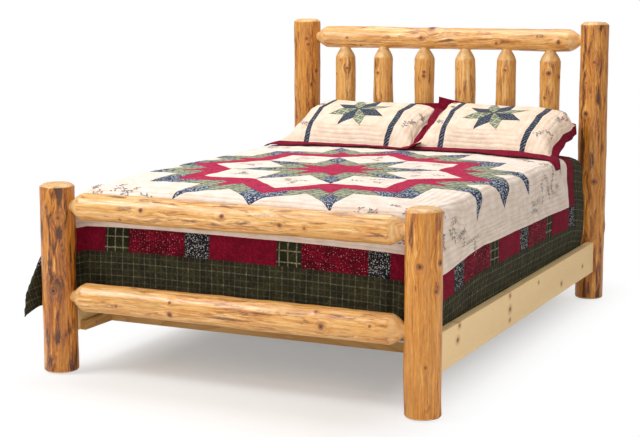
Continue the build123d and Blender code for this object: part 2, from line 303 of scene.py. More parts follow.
def makeKnotMarks():
    # the dark heart, brown rim and pale collar of a knot, from the distance to it in knot sizes
    tree, given, result = newTree("knotMarks", "Shader", {
        "Distance": 5.0, "Wobble": 0.5,
    }, ("Heart", "Ring", "Rim", "Collar"))
    shift = (given["Wobble"] - 0.5) * 0.9
    distance = given["Distance"] + shift
    plug(remap(distance, 0.3, 0.5, 1.0, 0.0), result["Heart"])
    fromRing = abs(distance - 0.9)
    plug(remap(fromRing, 0.02, 0.2, 1.0, 0.0), result["Ring"])
    plug(remap(distance, 0.7, 1.05, 1.0, 0.0), result["Rim"])
    plug(remap(distance, 1.1, 2.6, 1.0, 0.0), result["Collar"])
    return tree


solidWood = makeSolidWood()
knotMarks = makeKnotMarks()

# colours of the peeled wood from the darkest streak to the palest sapwood, and how strong the marks are
logFinishes = {
    "postWood": {"tones": ("5a2806", "944e14", "c07823", "da973e", "ecbd72"), "marks": 1.0, "grey": 0.2,
                 "centre": 0.48, "coat": 0.25},
    "railWood": {"tones": ("6d3710", "b06a29", "d49545", "eab86f", "f8dfb2"), "marks": 0.8, "grey": 0.3,
                 "centre": 0.44, "coat": 0.6},
    "spindleWood": {"tones": ("7a4516", "b8752c", "d69845", "e7b266", "f4d29a"), "marks": 0.7, "grey": 0.2,
                    "centre": 0.45, "coat": 0.3},
}


def makeLogFinish(name, finish):
    material, tree, shader = newMaterial(name)
    place = attribute(tree, "stem")
    wood = useGroup(solidWood, {"Place": place})
    cut = attribute(tree, "cut", "Fac")
    knots = useGroup(knotMarks, {"Distance": attribute(tree, "knot", "Fac"), "Wobble": wood["Dashes"]})
    # streaks are strong in some patches and nearly gone in others
    patch = remap(wood["Patches"], 0.38, 0.62)
    pull = remap(patch, 0.0, 1.0, 0.6, 1.4, soft=False)
    tone = (wood["Streaks"] - 0.5) * pull + (1.0 - finish["centre"])
    fibre = (wood["Fibres"] - 0.5) * 0.45
    tone = tone + fibre + attribute(tree, "tone", "Fac")
    stops = list(zip((0.12, 0.34, 0.5, 0.66, 0.85), finish["tones"]))
    colour = ramp(tone, stops)
    # rust and dark flakes of inner bark that the knife left
    crust = (wood["Patches"] - 0.5) * 0.5 + wood["Crust"]
    crust = crust + attribute(tree, "bark", "Fac")
    colour = mixColour(remap(crust, 0.54, 0.60) * (0.7 * finish["marks"]), colour, "8f4b1c")
    bark = remap(crust, 0.62, 0.67) * (0.85 * finish["marks"])
    colour = mixColour(bark, colour, "45250f")
    grey = remap(wood["Dashes"] + wood["Patches"] * -0.8, 0.18, 0.3)
    colour = mixColour(grey * finish["grey"], colour, "75603f")
    # knife-cut cones and ends are pale, with their growth rings
    rings = mixColour(wood["Rings"], "d9ab6a", "f0cf98")
    endWood = mixColour(remap(wood["Streaks"], 0.3, 0.7, 0.0, 0.5), rings, "cf9a55")
    colour = mixColour(remap(cut, 0.02, 0.2) * 0.72, colour, endWood)
    colour = mixColour(knots["Collar"] * 0.35, colour, "c07a36")
    colour = mixColour(knots["Rim"] * 0.9, colour, "8c5022")
    ringShare = knots["Ring"] * remap(wood["Crust"], 0.42, 0.58, 0.1, 0.7)
    colour = mixColour(ringShare, colour, "5a2f14")
    colour = mixColour(knots["Heart"] * 0.95, colour, "2e170b")
    feed(shader, {"Base Color": colour})
    rough = remap(wood["Streaks"], 0.2, 0.8, 0.5, 0.36, soft=False)
    feed(shader, {"Roughness": rough + knots["Heart"] * 0.25, "Coat Weight": finish["coat"], "Coat Roughness": 0.36})
    height = wood["Streaks"] * 0.6 + wood["Fibres"] * 0.4
    height = height - knots["Heart"] * 0.7
    height = height - bark * 0.4
    addBump(shader, height, 0.55, 0.0016)
    return material


def makePeeledLog():
    # a log along its own z, from a ring of points pushed in and out, then turned and put in place
    tree, given, result = newTree("peeledLog", "Geometry", {
        "Knots": "Object", "Finish": "Material", "Around": 96, "Along": 260, "Length": 1.0, "Radius": 0.05,
        "Start Tip": 0.03, "End Tip": 0.03, "Start Point": 0.02, "End Point": 0.02, "Tenon": 0.0, "Crown": 0.3,
        "Swell": 0.01, "Bow": 0.003, "Bow Turn": 0.0, "Lump Height": 0.004, "Facet Depth": 0.0022, "Seed": 0.0,
        "Tone": 0.0, "Bark": 0.0, "Turn": "Vector", "Place": "Vector",
    }, ("Geometry",))
    stick = addNode(tree, "GeometryNodeMeshCylinder", {
        "Vertices": given["Around"], "Side Segments": given["Along"], "Radius": 1.0, "Depth": 1.0},
        fill_type="TRIANGLE_FAN")
    position = tree.nodes.new("GeometryNodeInputPosition").outputs[0]
    parts = separate(position)
    cosine, sine = parts[0], parts[1]
    share = parts[2] + 0.5
    # the rings run over the first end, up the log and over the other end
    run = given["Length"] + given["Start Tip"] + given["End Tip"]
    way = share * run
    length = calc("MINIMUM", calc("MAXIMUM", way - given["Start Tip"], 0.0), given["Length"])
    capStart = calc("MINIMUM", way / given["Start Tip"], 1.0)
    capEnd = calc("MINIMUM", (run - way) / given["End Tip"], 1.0)
    # a stem with its long swell, lumps and the knife's flats
    phase = length / given["Length"] * 7.0 + given["Seed"]
    swell = calc("SINE", phase) * given["Swell"] + 1.0
    smooth = given["Radius"] * swell
    smoothPlace = combine(cosine * smooth, sine * smooth, length)
    seedPlace = smoothPlace + combine(0.0, 0.0, given["Seed"] * 3.7)
    lumps = noise(seedPlace * (1.0, 1.0, 0.45), 13.0)
    lumpHeight = (lumps - 0.5) * (given["Lump Height"] * 2.0)
    flats = nodeAfter("ShaderNodeTexVoronoi", {
        "Vector": seedPlace * (36.0, 36.0, 5.5), "Scale": 1.0, "Smoothness": 0.25,
    }, feature="SMOOTH_F1").outputs["Distance"]
    flatHeight = (flats - 0.45) * given["Facet Depth"]
    # knots stand proud of the stem, with a hollow heart
    knotPoints = nodeAfter("GeometryNodeObjectInfo", {"Object": given["Knots"]}).outputs["Geometry"]
    near = nodeAfter("GeometryNodeProximity", {0: knotPoints, "Sample Position": smoothPlace},
                     target_element="POINTS")
    index = nodeAfter("GeometryNodeSampleNearest",
                      {"Geometry": knotPoints, "Sample Position": smoothPlace}).outputs[0]
    sizeField = addNode(tree, "GeometryNodeInputNamedAttribute", {"Name": "knotSize"}, data_type="FLOAT").outputs[0]
    size = nodeAfter("GeometryNodeSampleIndex",
                     {"Geometry": knotPoints, "Value": sizeField, "Index": index}).outputs[0]
    knot = near.outputs["Distance"] / size
    square = knot * knot
    mound = calc("EXPONENT", square * -0.35)
    hollow = calc("EXPONENT", square * -5.0)
    knotHeight = size * (mound * 0.34 - hollow * 0.16)
    bumps = lumpHeight + flatHeight + knotHeight
    body = smooth + bumps

    def taper(reach, point, tip, radius):
        # from the tip's radius to the stem's over the length of the point, a little crowned
        rise = calc("MINIMUM", calc("MAXIMUM", reach / point, 0.0), 1.0)
        belly = rise * (1.0 - rise) * given["Crown"]
        full = rise + belly
        return rise, (radius - tip) * full + tip
    startRise, radius = taper(length - given["Tenon"], given["Start Point"], given["Start Tip"], body)
    endReach = given["Length"] - given["Tenon"] - length
    endRise, radius = taper(endReach, given["End Point"], given["End Tip"], radius)
    radius = radius * (capStart * capEnd)
    lean = calc("SINE", length / given["Length"] * math.pi) * given["Bow"]
    x = calc("COSINE", given["Bow Turn"]) * lean + cosine * radius
    y = calc("SINE", given["Bow Turn"]) * lean + sine * radius
    localPlace = combine(x, y, length)
    # grain bends round each knot
    away = localPlace - near.outputs["Position"]
    bend = calc("EXPONENT", square * -0.12) * -0.7
    bendAway = scaled(away, bend)
    stem = localPlace + bendAway + combine(0.0, 0.0, given["Seed"] * 2.3)
    cut = 1.0 - calc("MINIMUM", startRise, endRise)
    geometry = stick.outputs["Mesh"]
    for name, kind, value in (("stem", "FLOAT_VECTOR", stem), ("cut", "FLOAT", cut), ("knot", "FLOAT", knot),
                              ("tone", "FLOAT", given["Tone"]), ("bark", "FLOAT", given["Bark"])):
        geometry = addNode(tree, "GeometryNodeStoreNamedAttribute", {
            "Geometry": geometry, "Name": name, "Value": value}, data_type=kind, domain="POINT").outputs[0]
    for kind, inputs in (("SetPosition", {"Position": localPlace}), ("MergeByDistance", {"Distance": 0.00002}),
                         ("SetShadeSmooth", {"Shade Smooth": True}),
                         ("Transform", {"Translation": given["Place"], "Rotation": given["Turn"]}),
                         ("RealizeInstances", {}), ("SetMaterial", {"Material": given["Finish"]})):
        geometry = addNode(tree, "GeometryNode" + kind, {"Geometry": geometry, **inputs}).outputs[0]
    plug(geometry, result["Geometry"])
    return tree


def meshObject(name, vertices, faces=(), edges=()):
    mesh = bpy.data.meshes.new(name)
    mesh.from_pydata([tuple(v) for v in vertices], list(edges), [tuple(f) for f in faces])
    made = bpy.data.objects.new(name, mesh)
    collection.objects.link(made)
    return made


def evaluated(made):
    return made.evaluated_get(bpy.context.evaluated_depsgraph_get())


def growFromTree(name, tree, values):
    # runs a geometry tree on an empty mesh and keeps its result as a plain mesh
    made = meshObject(name, [])
    modifier = made.modifiers.new("build", "NODES")
    modifier.node_group = tree
    keys = {item.name: item.identifier for item in tree.interface.items_tree
            if item.item_type == "SOCKET" and item.in_out == "INPUT"}
    for label, value in values.items():
        modifier[keys[label]] = value
    bpy.context.view_layer.update()
    mesh = bpy.data.meshes.new_from_object(evaluated(made))
    mesh.name = name
    made.modifiers.remove(modifier)
    made.data = mesh
    return made


logFinish = {name: makeLogFinish(name, finish) for name, finish in logFinishes.items()}
peeledLog = makePeeledLog()

# Knots listed as (place along the log in metres, angle round it in degrees, size in metres)
postKnots = {
    "foot_post_left": [(0.34, -75, 0.016), (0.63, -55, 0.010), (0.67, -94, 0.007), (0.50, -40, 0.008),
                       (0.22, 150, 0.014)],
    "foot_post_right": [(0.56, -80, 0.013), (0.57, -13, 0.014), (0.47, -29, 0.008), (0.30, 120, 0.013),
                        (0.20, -60, 0.006)],
    "head_post_left": [(1.26, -68, 0.008), (1.23, -61, 0.009), (1.09, -22, 0.009), (0.70, 160, 0.016),
                       (0.35, -120, 0.014)],
    "head_post_right": [(1.17, -75, 0.009), (0.92, -104, 0.013), (0.59, -65, 0.017), (1.07, -108, 0.007),
                        (0.36, 10, 0.015), (0.80, 60, 0.016)],
}
railKnots = {
    "foot_rail_upper": [(-0.36, 257, 0.010), (-0.01, 257, 0.011), (0.23, 276, 0.008), (0.33, 280, 0.007),
                        (-0.46, 304, 0.008), (0.10, 90, 0.013)],
    "foot_rail_lower": [(-0.24, 244, 0.008), (-0.24, 291, 0.012), (0.37, 222, 0.008), (0.40, 273, 0.011),
                        (0.59, 255, 0.006), (-0.48, 281, 0.007), (-0.1, 100, 0.012)],
    "head_rail_upper": [(-0.52, 271, 0.007), (-0.45, 318, 0.005), (-0.11, 265, 0.010), (-0.06, 209, 0.020),
                        (0.29, 288, 0.008), (0.61, 276, 0.012), (0.5, 249, 0.006), (0.2, 80, 0.012)],
    "head_rail_lower": [(-0.4, 280, 0.012), (0.3, 250, 0.010), (0.0, 90, 0.012)],
}
spindleKnots = {
    "head_spindle_1": [(1.15, -95, 0.006), (1.11, -56, 0.008), (1.08, -126, 0.006), (0.80, 100, 0.009)],
    "head_spindle_2": [(1.09, -101, 0.009), (0.90, -60, 0.006), (1.00, 80, 0.008)],
    "head_spindle_3": [(1.10, -71, 0.008), (1.08, -75, 0.010), (1.12, -158, 0.008), (0.85, 120, 0.008)],
    "head_spindle_4": [(1.12, -117, 0.005), (0.95, -50, 0.005), (0.75, 90, 0.009)],
    "head_spindle_5": [(1.12, -78, 0.008), (1.11, -161, 0.006), (0.90, 70, 0.009)],
    "head_spindle_6": [(1.09, -13, 0.009), (1.11, -81, 0.013), (0.99, -102, 0.006), (0.80, 110, 0.010)],
}
# (paler or darker, more or less bark left) of each log that differs from its kind
logTones = {
    "foot_post_left": (-0.02, 0.05), "foot_post_right": (0.06, -0.045), "head_post_left": (0.04, 0.0),
    "head_post_right": (0.04, 0.02), "foot_rail_upper": (0.02, -0.01), "foot_rail_lower": (0.0, -0.02),
    "head_rail_upper": (0.0, -0.01), "head_spindle_4": (0.05, -0.03),
}
# across and inset: which sides of the node's box give the width, and how far the stem stays inside them
# seed: that of log number 0, and the step to the next; first: the number of the first log
logKinds = {
    "post": {"slot": "post_log", "finish": "postWood", "along": "z", "across": "xy", "inset": 0.001,
             "seed": (1.7, 2.9), "first": 0, "footBevel": 0.005, "bevelWidth": 0.018, "bevel": 0.014, "step": 0.005,
             "values": {"Around": 88, "Swell": 0.012, "Bow": 0.002}},
    "rail": {"slot": "rail_log", "finish": "railWood", "along": "x", "across": "yz", "inset": 0.002,
             "seed": (0.6, 3.3), "first": 0, "tip": 0.0235, "point": 0.05,
             "values": {"Tenon": 0.075, "Along": 300, "Around": 80, "Crown": 0.5, "Swell": 0.02, "Bow": 0.003}},
    "spindle": {"slot": "spindle_log", "finish": "spindleWood", "along": "z", "across": "x", "inset": 0.002,
                "seed": (0.9, 2.1), "first": 1, "tip": 0.0255, "point": 0.048,
                "values": {"Tenon": 0.036, "Along": 130, "Around": 64, "Crown": 0.5, "Swell": 0.035, "Bow": 0.003}},
}


def logEnds(kind, radius, length):
    # tips and points of a log: a post has its bevels, the others their pencil points
    if "bevel" in kind:
        return {"Start Tip": radius - kind["footBevel"], "End Tip": radius - kind["bevelWidth"],
                "Start Point": kind["footBevel"], "End Point": kind["bevel"], "Along": int(length / kind["step"])}
    tip, point = kind["tip"], kind["point"]
    return {"Start Tip": tip, "End Tip": tip, "Start Point": point, "End Point": point}


def growLog(node, body, kind, knots, seed):
    low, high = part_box(node)
    middle, size = (low + high) / 2, high - low
    flat = kind["along"] == "x"
    start = Vector((low.x, middle.y, middle.z)) if flat else Vector((middle.x, middle.y, low.z))
    length = size.x if flat else size.z
    radius = min(getattr(high, axis) - getattr(low, axis) for axis in kind["across"]) / 2 - kind["inset"]
    points = meshObject(node + "_knots", [
        (radius * math.cos(math.radians(angle)), radius * math.sin(math.radians(angle)),
         place - (start.x if flat else start.z)) for place, angle, knotSize in knots])
    sizes = points.data.attributes.new("knotSize", "FLOAT", "POINT")
    sizes.data.foreach_set("value", [knotSize for place, angle, knotSize in knots])
    tone, bark = logTones.get(node, (0.0, 0.0))
    log = growFromTree(node + "_log", peeledLog, {
        "Knots": points, "Finish": logFinish[kind["finish"]], "Length": length, "Radius": radius, "Seed": seed,
        "Bow Turn": seed * 2.0, "Tone": tone, "Bark": bark, "Turn": (0.0, math.pi / 2 if flat else 0.0, 0.0),
        "Place": tuple(start), **kind["values"], **logEnds(kind, radius, length)})
    bpy.data.objects.remove(points)
    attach(log, body)
    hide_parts(node)


for name, logs in (("post", postKnots), ("rail", railKnots), ("spindle", spindleKnots)):
    kind = logKinds[name]
    seed, seedStep = kind["seed"]
    for number, (node, knots) in enumerate(logs.items(), start=kind["first"]):
        growLog(node, "bed_frame", kind, knots, seed + number * seedStep)
print("the logs are peeled")


# Sawn wood, steel and small hardware

# grain direction, ground colours and knots (first and second place across the face, size) of each kind of board
boards = {
    "railPine": {"axis": 1, "pale": "fcdfa8", "dark": "e6b56c", "rough": 0.5,
                 "knots": ((0.516, 0.187, 0.010), (-0.237, 0.275, 0.009), (-0.234, 0.218, 0.012),
                           (-0.235, 0.173, 0.008), (-0.837, 0.278, 0.009), (-0.855, 0.227, 0.011),
                           (0.872, 0.205, 0.008), (0.16, 0.258, 0.007))},
    "cleatPine": {"axis": 1, "pale": "d2a566", "dark": "a9763c", "rough": 0.65, "knots": ()},
    "slatPine": {"axis": 0, "pale": "cfa263", "dark": "a67338", "rough": 0.7, "knots": ()},
    "legPine": {"axis": 2, "pale": "e6c78f", "dark": "c9985a", "rough": 0.65, "knots": ()},
}


def makeBoardGrain():
    # growth rings cut by a flat saw, with the grain along y of the place given
    tree, given, result = newTree("boardGrain", "Shader", {
        "Place": "Vector", "Ring Width": 0.006,
    }, ("Rings", "Fibres", "Cloud"))
    long = given["Place"] * (1.0, 0.12, 1.0)
    warp = noise(long, 7.0, output="Color")
    shifted = given["Place"] + warp * (0.07, 0.0, 0.07)
    pith = (shifted - (0.90, 0.0, 0.05)) * (1.0, 0.0, 1.0)
    share = calc("FRACT", vectorCalc("LENGTH", pith) / given["Ring Width"])
    plug(calc("POWER", share, 2.6), result["Rings"])
    fine = given["Place"] * (900.0, 14.0, 900.0)
    plug(noise(fine, 1.0), result["Fibres"])
    plug(noise(long, 5.0, detail=3.0), result["Cloud"])
    return tree


boardGrain = makeBoardGrain()


def makeBoard(name, board):
    material, tree, shader = newMaterial(name)
    parts = separate(objectPlace(tree))
    order = {0: (1, 0, 2), 1: (0, 1, 2), 2: (0, 2, 1)}[board["axis"]]
    turned = combine(*(parts[i] for i in order))
    distance = None
    for y, z, size in board["knots"]:
        flat = combine(0.0, parts[1] - y, parts[2] - z)
        away = vectorCalc("LENGTH", flat * (0.0, 0.75, 1.0)) / size
        distance = away if distance is None else calc("SMOOTH_MIN", distance, away, 0.4)
    if distance is not None:
        # grain runs round the knots
        near = calc("EXPONENT", distance * distance * -0.10)
        turned = turned + combine(near * 0.020, 0.0, 0.0)
    grain = useGroup(boardGrain, {"Place": turned})
    colour = mixColour(grain["Rings"] * 0.55, board["pale"], board["dark"])
    colour = mixColour(remap(grain["Cloud"], 0.4, 0.75, 0.0, 0.35), colour, board["dark"])
    colour = mixColour(remap(grain["Fibres"], 0.45, 0.8, 0.0, 0.25), colour, "b98a4e")
    if distance is not None:
        knots = useGroup(knotMarks, {"Distance": distance, "Wobble": grain["Fibres"]})
        colour = mixColour(knots["Collar"] * 0.45, colour, "c98d4a")
        colour = mixColour(knots["Rim"] * 0.8, colour, "8d4f22")
        colour = mixColour(knots["Heart"] * 0.8, colour, "5a2f15")
    rough = remap(grain["Fibres"], 0.3, 0.7, board["rough"], board["rough"] + 0.12, soft=False)
    feed(shader, {"Base Color": colour, "Roughness": rough, "Coat Weight": 0.08, "Coat Roughness": 0.35})
    height = grain["Fibres"] * 0.7 + grain["Rings"] * 0.3
    addBump(shader, height, 0.35, 0.0006)
    return material


def makeSteel():
    material, tree, shader = newMaterial("platedSteel")
    place = objectPlace(tree)
    cloud = noise(place, 60.0, detail=4.0, rough=0.6)
    feed(shader, {"Base Color": mixColour(remap(cloud, 0.35, 0.7), "b9b9b4", "8f8d84"), "Metallic": 1.0,
                  "Roughness": remap(cloud, 0.3, 0.7, 0.32, 0.5, soft=False)})
    addBump(shader, noise(place, 700.0), 0.2, 0.0003)
    return material


def makeGrainy(name, span, colours, bump, values, share=1.0):
    # a fine grain in the colour and on the surface
    material, tree, shader = newMaterial(name)
    grain = noise(objectPlace(tree), 900.0)
    feed(shader, {"Base Color": mixColour(remap(grain, *span, 0.0, share), *colours), **values})
    addBump(shader, grain, *bump)
    return material


def paint(nodes, material):
    for node in nodes:
        for slot in bpy.data.objects[node].material_slots:
            slot.material = material


# Screws

screwSizes = {
    "radius": 0.0043, "depth": 0.003, "proud": 0.0012, "slotWidth": 0.0009, "ledgerHeight": 0.162,
    "ledgerPlaces": (-0.92, -0.60, -0.20, 0.20, 0.60, 0.92), "supportInset": 0.0125,
}


def makeScrewHeads():
    # a slotted wood screw's head on each point, turned to the point's aim
    tree, given, result = newTree("screwHeads", "Geometry", {
        "Points": "Object", "Finish": "Material", "Radius": 0.004, "Depth": 0.002, "Slot Width": 0.001,
    }, ("Geometry",))
    points = nodeAfter("GeometryNodeObjectInfo", {"Object": given["Points"]}).outputs["Geometry"]
    head = addNode(tree, "GeometryNodeMeshCylinder", {
        "Vertices": 20, "Radius": given["Radius"], "Depth": given["Depth"]}, fill_type="NGON").outputs["Mesh"]
    slotSize = combine(given["Radius"] * 2.4, given["Slot Width"], given["Depth"] * 0.4)
    slot = nodeAfter("GeometryNodeMeshCube", {0: slotSize}).outputs["Mesh"]
    slot = nodeAfter("GeometryNodeTransform",
                     {"Geometry": slot, "Translation": combine(0.0, 0.0, given["Depth"] * 0.5)}).outputs[0]
    cut = nodeAfter("GeometryNodeMeshBoolean", {"Mesh 1": head, "Mesh 2": slot}, operation="DIFFERENCE",
                    solver="EXACT").outputs["Mesh"]
    aim = addNode(tree, "GeometryNodeInputNamedAttribute", {"Name": "aim"}, data_type="FLOAT_VECTOR").outputs[0]
    turn = nodeAfter("FunctionNodeAlignRotationToVector", {"Vector": aim}, axis="Z").outputs[0]
    placed = nodeAfter("GeometryNodeInstanceOnPoints",
                       {"Points": points, "Instance": cut, "Rotation": turn}).outputs[0]
    placed = nodeAfter("GeometryNodeRealizeInstances", {"Geometry": placed}).outputs[0]
    placed = nodeAfter("GeometryNodeSetMaterial", {"Geometry": placed, "Material": given["Finish"]}).outputs[0]
    plug(placed, result["Geometry"])
    return tree


def makeScrews(steel):
    places, aims = [], []
    shift = screwSizes["proud"] - screwSizes["depth"] / 2
    for side in (-1, 1):
        low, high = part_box("ledger_right" if side > 0 else "ledger_left")
        inner = low.x if side > 0 else high.x
        for y in screwSizes["ledgerPlaces"]:
            places.append((inner - side * shift, y, screwSizes["ledgerHeight"]))
            aims.append((-side, 0.0, 0.0))
    for number in range(1, 6):
        low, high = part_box("cross_support_%d" % number)
        for side in (-1, 1):
            x, z = side * (high.x - screwSizes["supportInset"]), high.z - screwSizes["depth"] / 2
            places.append((x, (low.y + high.y) / 2, z + 0.0001))
            aims.append((0.0, 0.0, 1.0))
    holder = meshObject("screwPlaces", places)
    holder.data.attributes.new("aim", "FLOAT_VECTOR", "POINT").data.foreach_set("vector", np.array(aims, "f").ravel())
    screws = growFromTree("frame_screws", makeScrewHeads(), {
        "Points": holder, "Finish": steel, "Radius": screwSizes["radius"], "Depth": screwSizes["depth"],
        "Slot Width": screwSizes["slotWidth"]})
    bpy.data.objects.remove(holder)
    print("screw heads:", len(places), "with", len(screws.data.polygons), "faces")
    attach(screws, "bed_frame")


def dressFrame():
    paint(("side_rail_left", "side_rail_right"), makeBoard("railPine", boards["railPine"]))
    paint(("ledger_left", "ledger_right"), makeBoard("cleatPine", boards["cleatPine"]))
    slats = makeBoard("slatPine", boards["slatPine"])
    paint(["cross_support_%d" % number for number in range(1, 6)] + ["box_spring_frame"], slats)
    paint(("centre_leg",), makeBoard("legPine", boards["legPine"]))
    steel = makeSteel()
    paint(("rail_hook_plates", "post_slot_plates", "leg_bolts"), steel)
    plastic = makeGrainy("glidePlastic", (0.4, 0.6), ("3a3734", "2c2a28"), (0.3, 0.0002), {"Roughness": 0.45})
    paint(("floor_glides",), plastic)
    makeScrews(steel)
    print("rails, cleats, supports and steel have their finishes")


dressFrame()


# Cloth: flat patterns, fabrics

def makeWeave():
    # plain weave in the flat coordinates of the cloth, with the crinkle that washing leaves
    tree, given, result = newTree("cottonWeave", "Shader", {
        "Place": "Vector", "Thread": 0.0011, "Crinkle Size": 0.014,
    }, ("Weave", "Crinkle", "Mottle"))
    parts = separate(given["Place"])
    turns = [calc("SINE", part / given["Thread"] * (2 * math.pi)) for part in parts[:2]]
    plug(remap(turns[0] * turns[1], -1.0, 1.0, soft=False), result["Weave"])
    size = 1.0 / given["Crinkle Size"]
    crinkle = noise(given["Place"], size, detail=3.0, rough=0.55, warp=0.7)
    ridge = abs(crinkle - 0.5)
    plug(remap(ridge, 0.0, 0.18, soft=False), result["Crinkle"])
    plug(noise(given["Place"], size * 0.22, detail=3.0, rough=0.6), result["Mottle"])
    return tree


def makeQuilting():
    # rows of stitching that echo the quilt's edges: Puff is the height between rows, Stitch the sewn line
    tree, given, result = newTree("quiltingRows", "Shader", {
        "Place": "Vector", "Row Gap": 0.024, "Wander": 0.006,
    }, ("Puff", "Stitch"))
    wander = noise(given["Place"], 9.0, detail=1.0, output="Color")
    shift = scaled(wander - (0.5, 0.5, 0.5), given["Wander"] * 4.0)
    parts = separate(abs(given["Place"] + shift))
    edge = calc("SMOOTH_MAX", parts[0], parts[1], 0.02)
    row = abs(calc("FRACT", edge / given["Row Gap"]) - 0.5)
    plug(remap(row, 0.5, 0.1), result["Puff"])
    plug(remap(row, 0.44, 0.5), result["Stitch"])
    return tree


def makePlaid():
    # thin lines each way, a strong one and a faint one between, in the flat coordinates
    tree, given, result = newTree("plaidLines", "Shader", {
        "Place": "Vector", "Across": 0.04, "Up": 0.046, "Line Width": 0.0022, "Turn": 0.0,
    }, ("Lines", "Faint", "Crossings"))
    turned = nodeAfter("ShaderNodeVectorRotate", {"Vector": given["Place"], "Angle": given["Turn"]},
                       rotation_type="Z_AXIS").outputs[0]
    wobble = noise(turned, 60.0, detail=1.0)
    turned = turned + scaled(combine(wobble, wobble, 0.0), 0.0012)
    parts = separate(turned)
    lines = []
    for part, gap in ((parts[0], given["Across"]), (parts[1], given["Up"])):
        for half in (0.0, 0.5):
            share = calc("FRACT", part / gap + half)
            away = abs(share - 0.5) * gap
            lines.append(1.0 - calc("MINIMUM", away / given["Line Width"], 1.0))
    plug(calc("MAXIMUM", lines[0], lines[2]), result["Lines"])
    plug(calc("MAXIMUM", lines[1], lines[3]), result["Faint"])
    plug(calc("MINIMUM", lines[0], lines[2]), result["Crossings"])
    return tree


def makeSpecks():
    # a small scattered print: specks of random size and turn
    tree, given, result = newTree("printSpecks", "Shader", {
        "Place": "Vector", "Gap": 0.008, "Size": 0.3,
    }, ("Specks", "Cells"))
    warp = noise(given["Place"], 170.0, detail=1.0, output="Color")
    place = given["Place"] + scaled(warp, 0.003)
    cells = nodeAfter("ShaderNodeTexVoronoi", {"Vector": place, "Scale": 1.0 / given["Gap"], "Randomness": 0.85},
                      voronoi_dimensions="2D")
    keep = nodeAfter("ShaderNodeSeparateColor", {0: cells.outputs["Color"]}).outputs
    size = given["Size"] * remap(keep[0], 0.0, 1.0, 0.25, 1.15, soft=False)
    speck = size - cells.outputs["Distance"]
    plug(remap(speck, 0.0, 0.08), result["Specks"])
    plug(keep[1], result["Cells"])
    return tree


cottonWeave = makeWeave()
quiltingRows = makeQuilting()
plaidLines = makePlaid()
printSpecks = makeSpecks()

# ground colour, colour of the marks on it, and the kind of print; sizes in metres; hollow is how strongly painted
# shade darkens the creases of the crinkle
fabrics = {
    "creamCotton": {"ground": "efe2d8", "shade": "e4d2c3", "print": "rows", "stitch": "c9a987", "puff": 2.0,
                    "hollow": 0.06},
    "burgundyCotton": {"ground": "8d1534", "shade": "7a102c", "print": "plain"},
    "burgundyPrint": {"ground": "8b1330", "shade": "5c0a1e", "print": "specks", "marks": "dc9a9a", "gap": 0.0105,
                      "size": 0.19},
    "starBurgundy": {"ground": "bd2650", "shade": "a01c42", "print": "specks", "marks": "d0607c", "gap": 0.007,
                     "size": 0.3, "hollow": 0.2},
    "navyPrint": {"ground": "282935", "shade": "1b1c25", "print": "specks", "marks": "bbbcba", "gap": 0.0078,
                  "size": 0.40},
    "starNavy": {"ground": "3c4966", "shade": "2b354e", "print": "specks", "marks": "c6ccd4", "gap": 0.0100,
                 "size": 0.44, "hollow": 0.2},
    "sagePlaid": {"ground": "535c44", "shade": "3f4733", "print": "plaid", "marks": "e0e2c6", "across": 0.036,
                  "up": 0.036, "turn": 0.3, "width": 0.0080, "faint": 0.3, "node": 0.2, "broken": 0.3, "hollow": 0.2},
    "windowGreen": {"ground": "3a3a28", "shade": "2a2a1d", "print": "plaid", "marks": "c4c39f", "across": 0.036,
                    "up": 0.044, "turn": 0.0, "width": 0.0036, "faint": 0.0, "node": 0.2, "broken": 0.3},
    "borderPlaid": {"ground": "43402d", "shade": "302e24", "hollow": 0.4, "print": "plaid", "marks": "a1a685",
                    "across": 0.050, "up": 0.051, "turn": 0.0, "width": 0.0034, "faint": 0.12, "node": 0.6,
                    "broken": 0.5},
    "shamCotton": {"ground": "ecd8c6", "shade": "e1c9b3", "print": "rows", "stitch": "d9bf9f", "puff": 1.1,
                   "hollow": 0.06},
    "navyTicks": {"ground": "2f374e", "shade": "242a3d", "print": "plaid", "marks": "a9b0bb", "across": 0.013,
                  "up": 9.0, "turn": 0.75, "width": 0.0038, "faint": 0.0, "node": 0.0, "broken": 0.6},
    "lining": {"ground": "e2d3b8", "shade": "d3c1a2", "print": "plain", "hollow": 0.06},
}


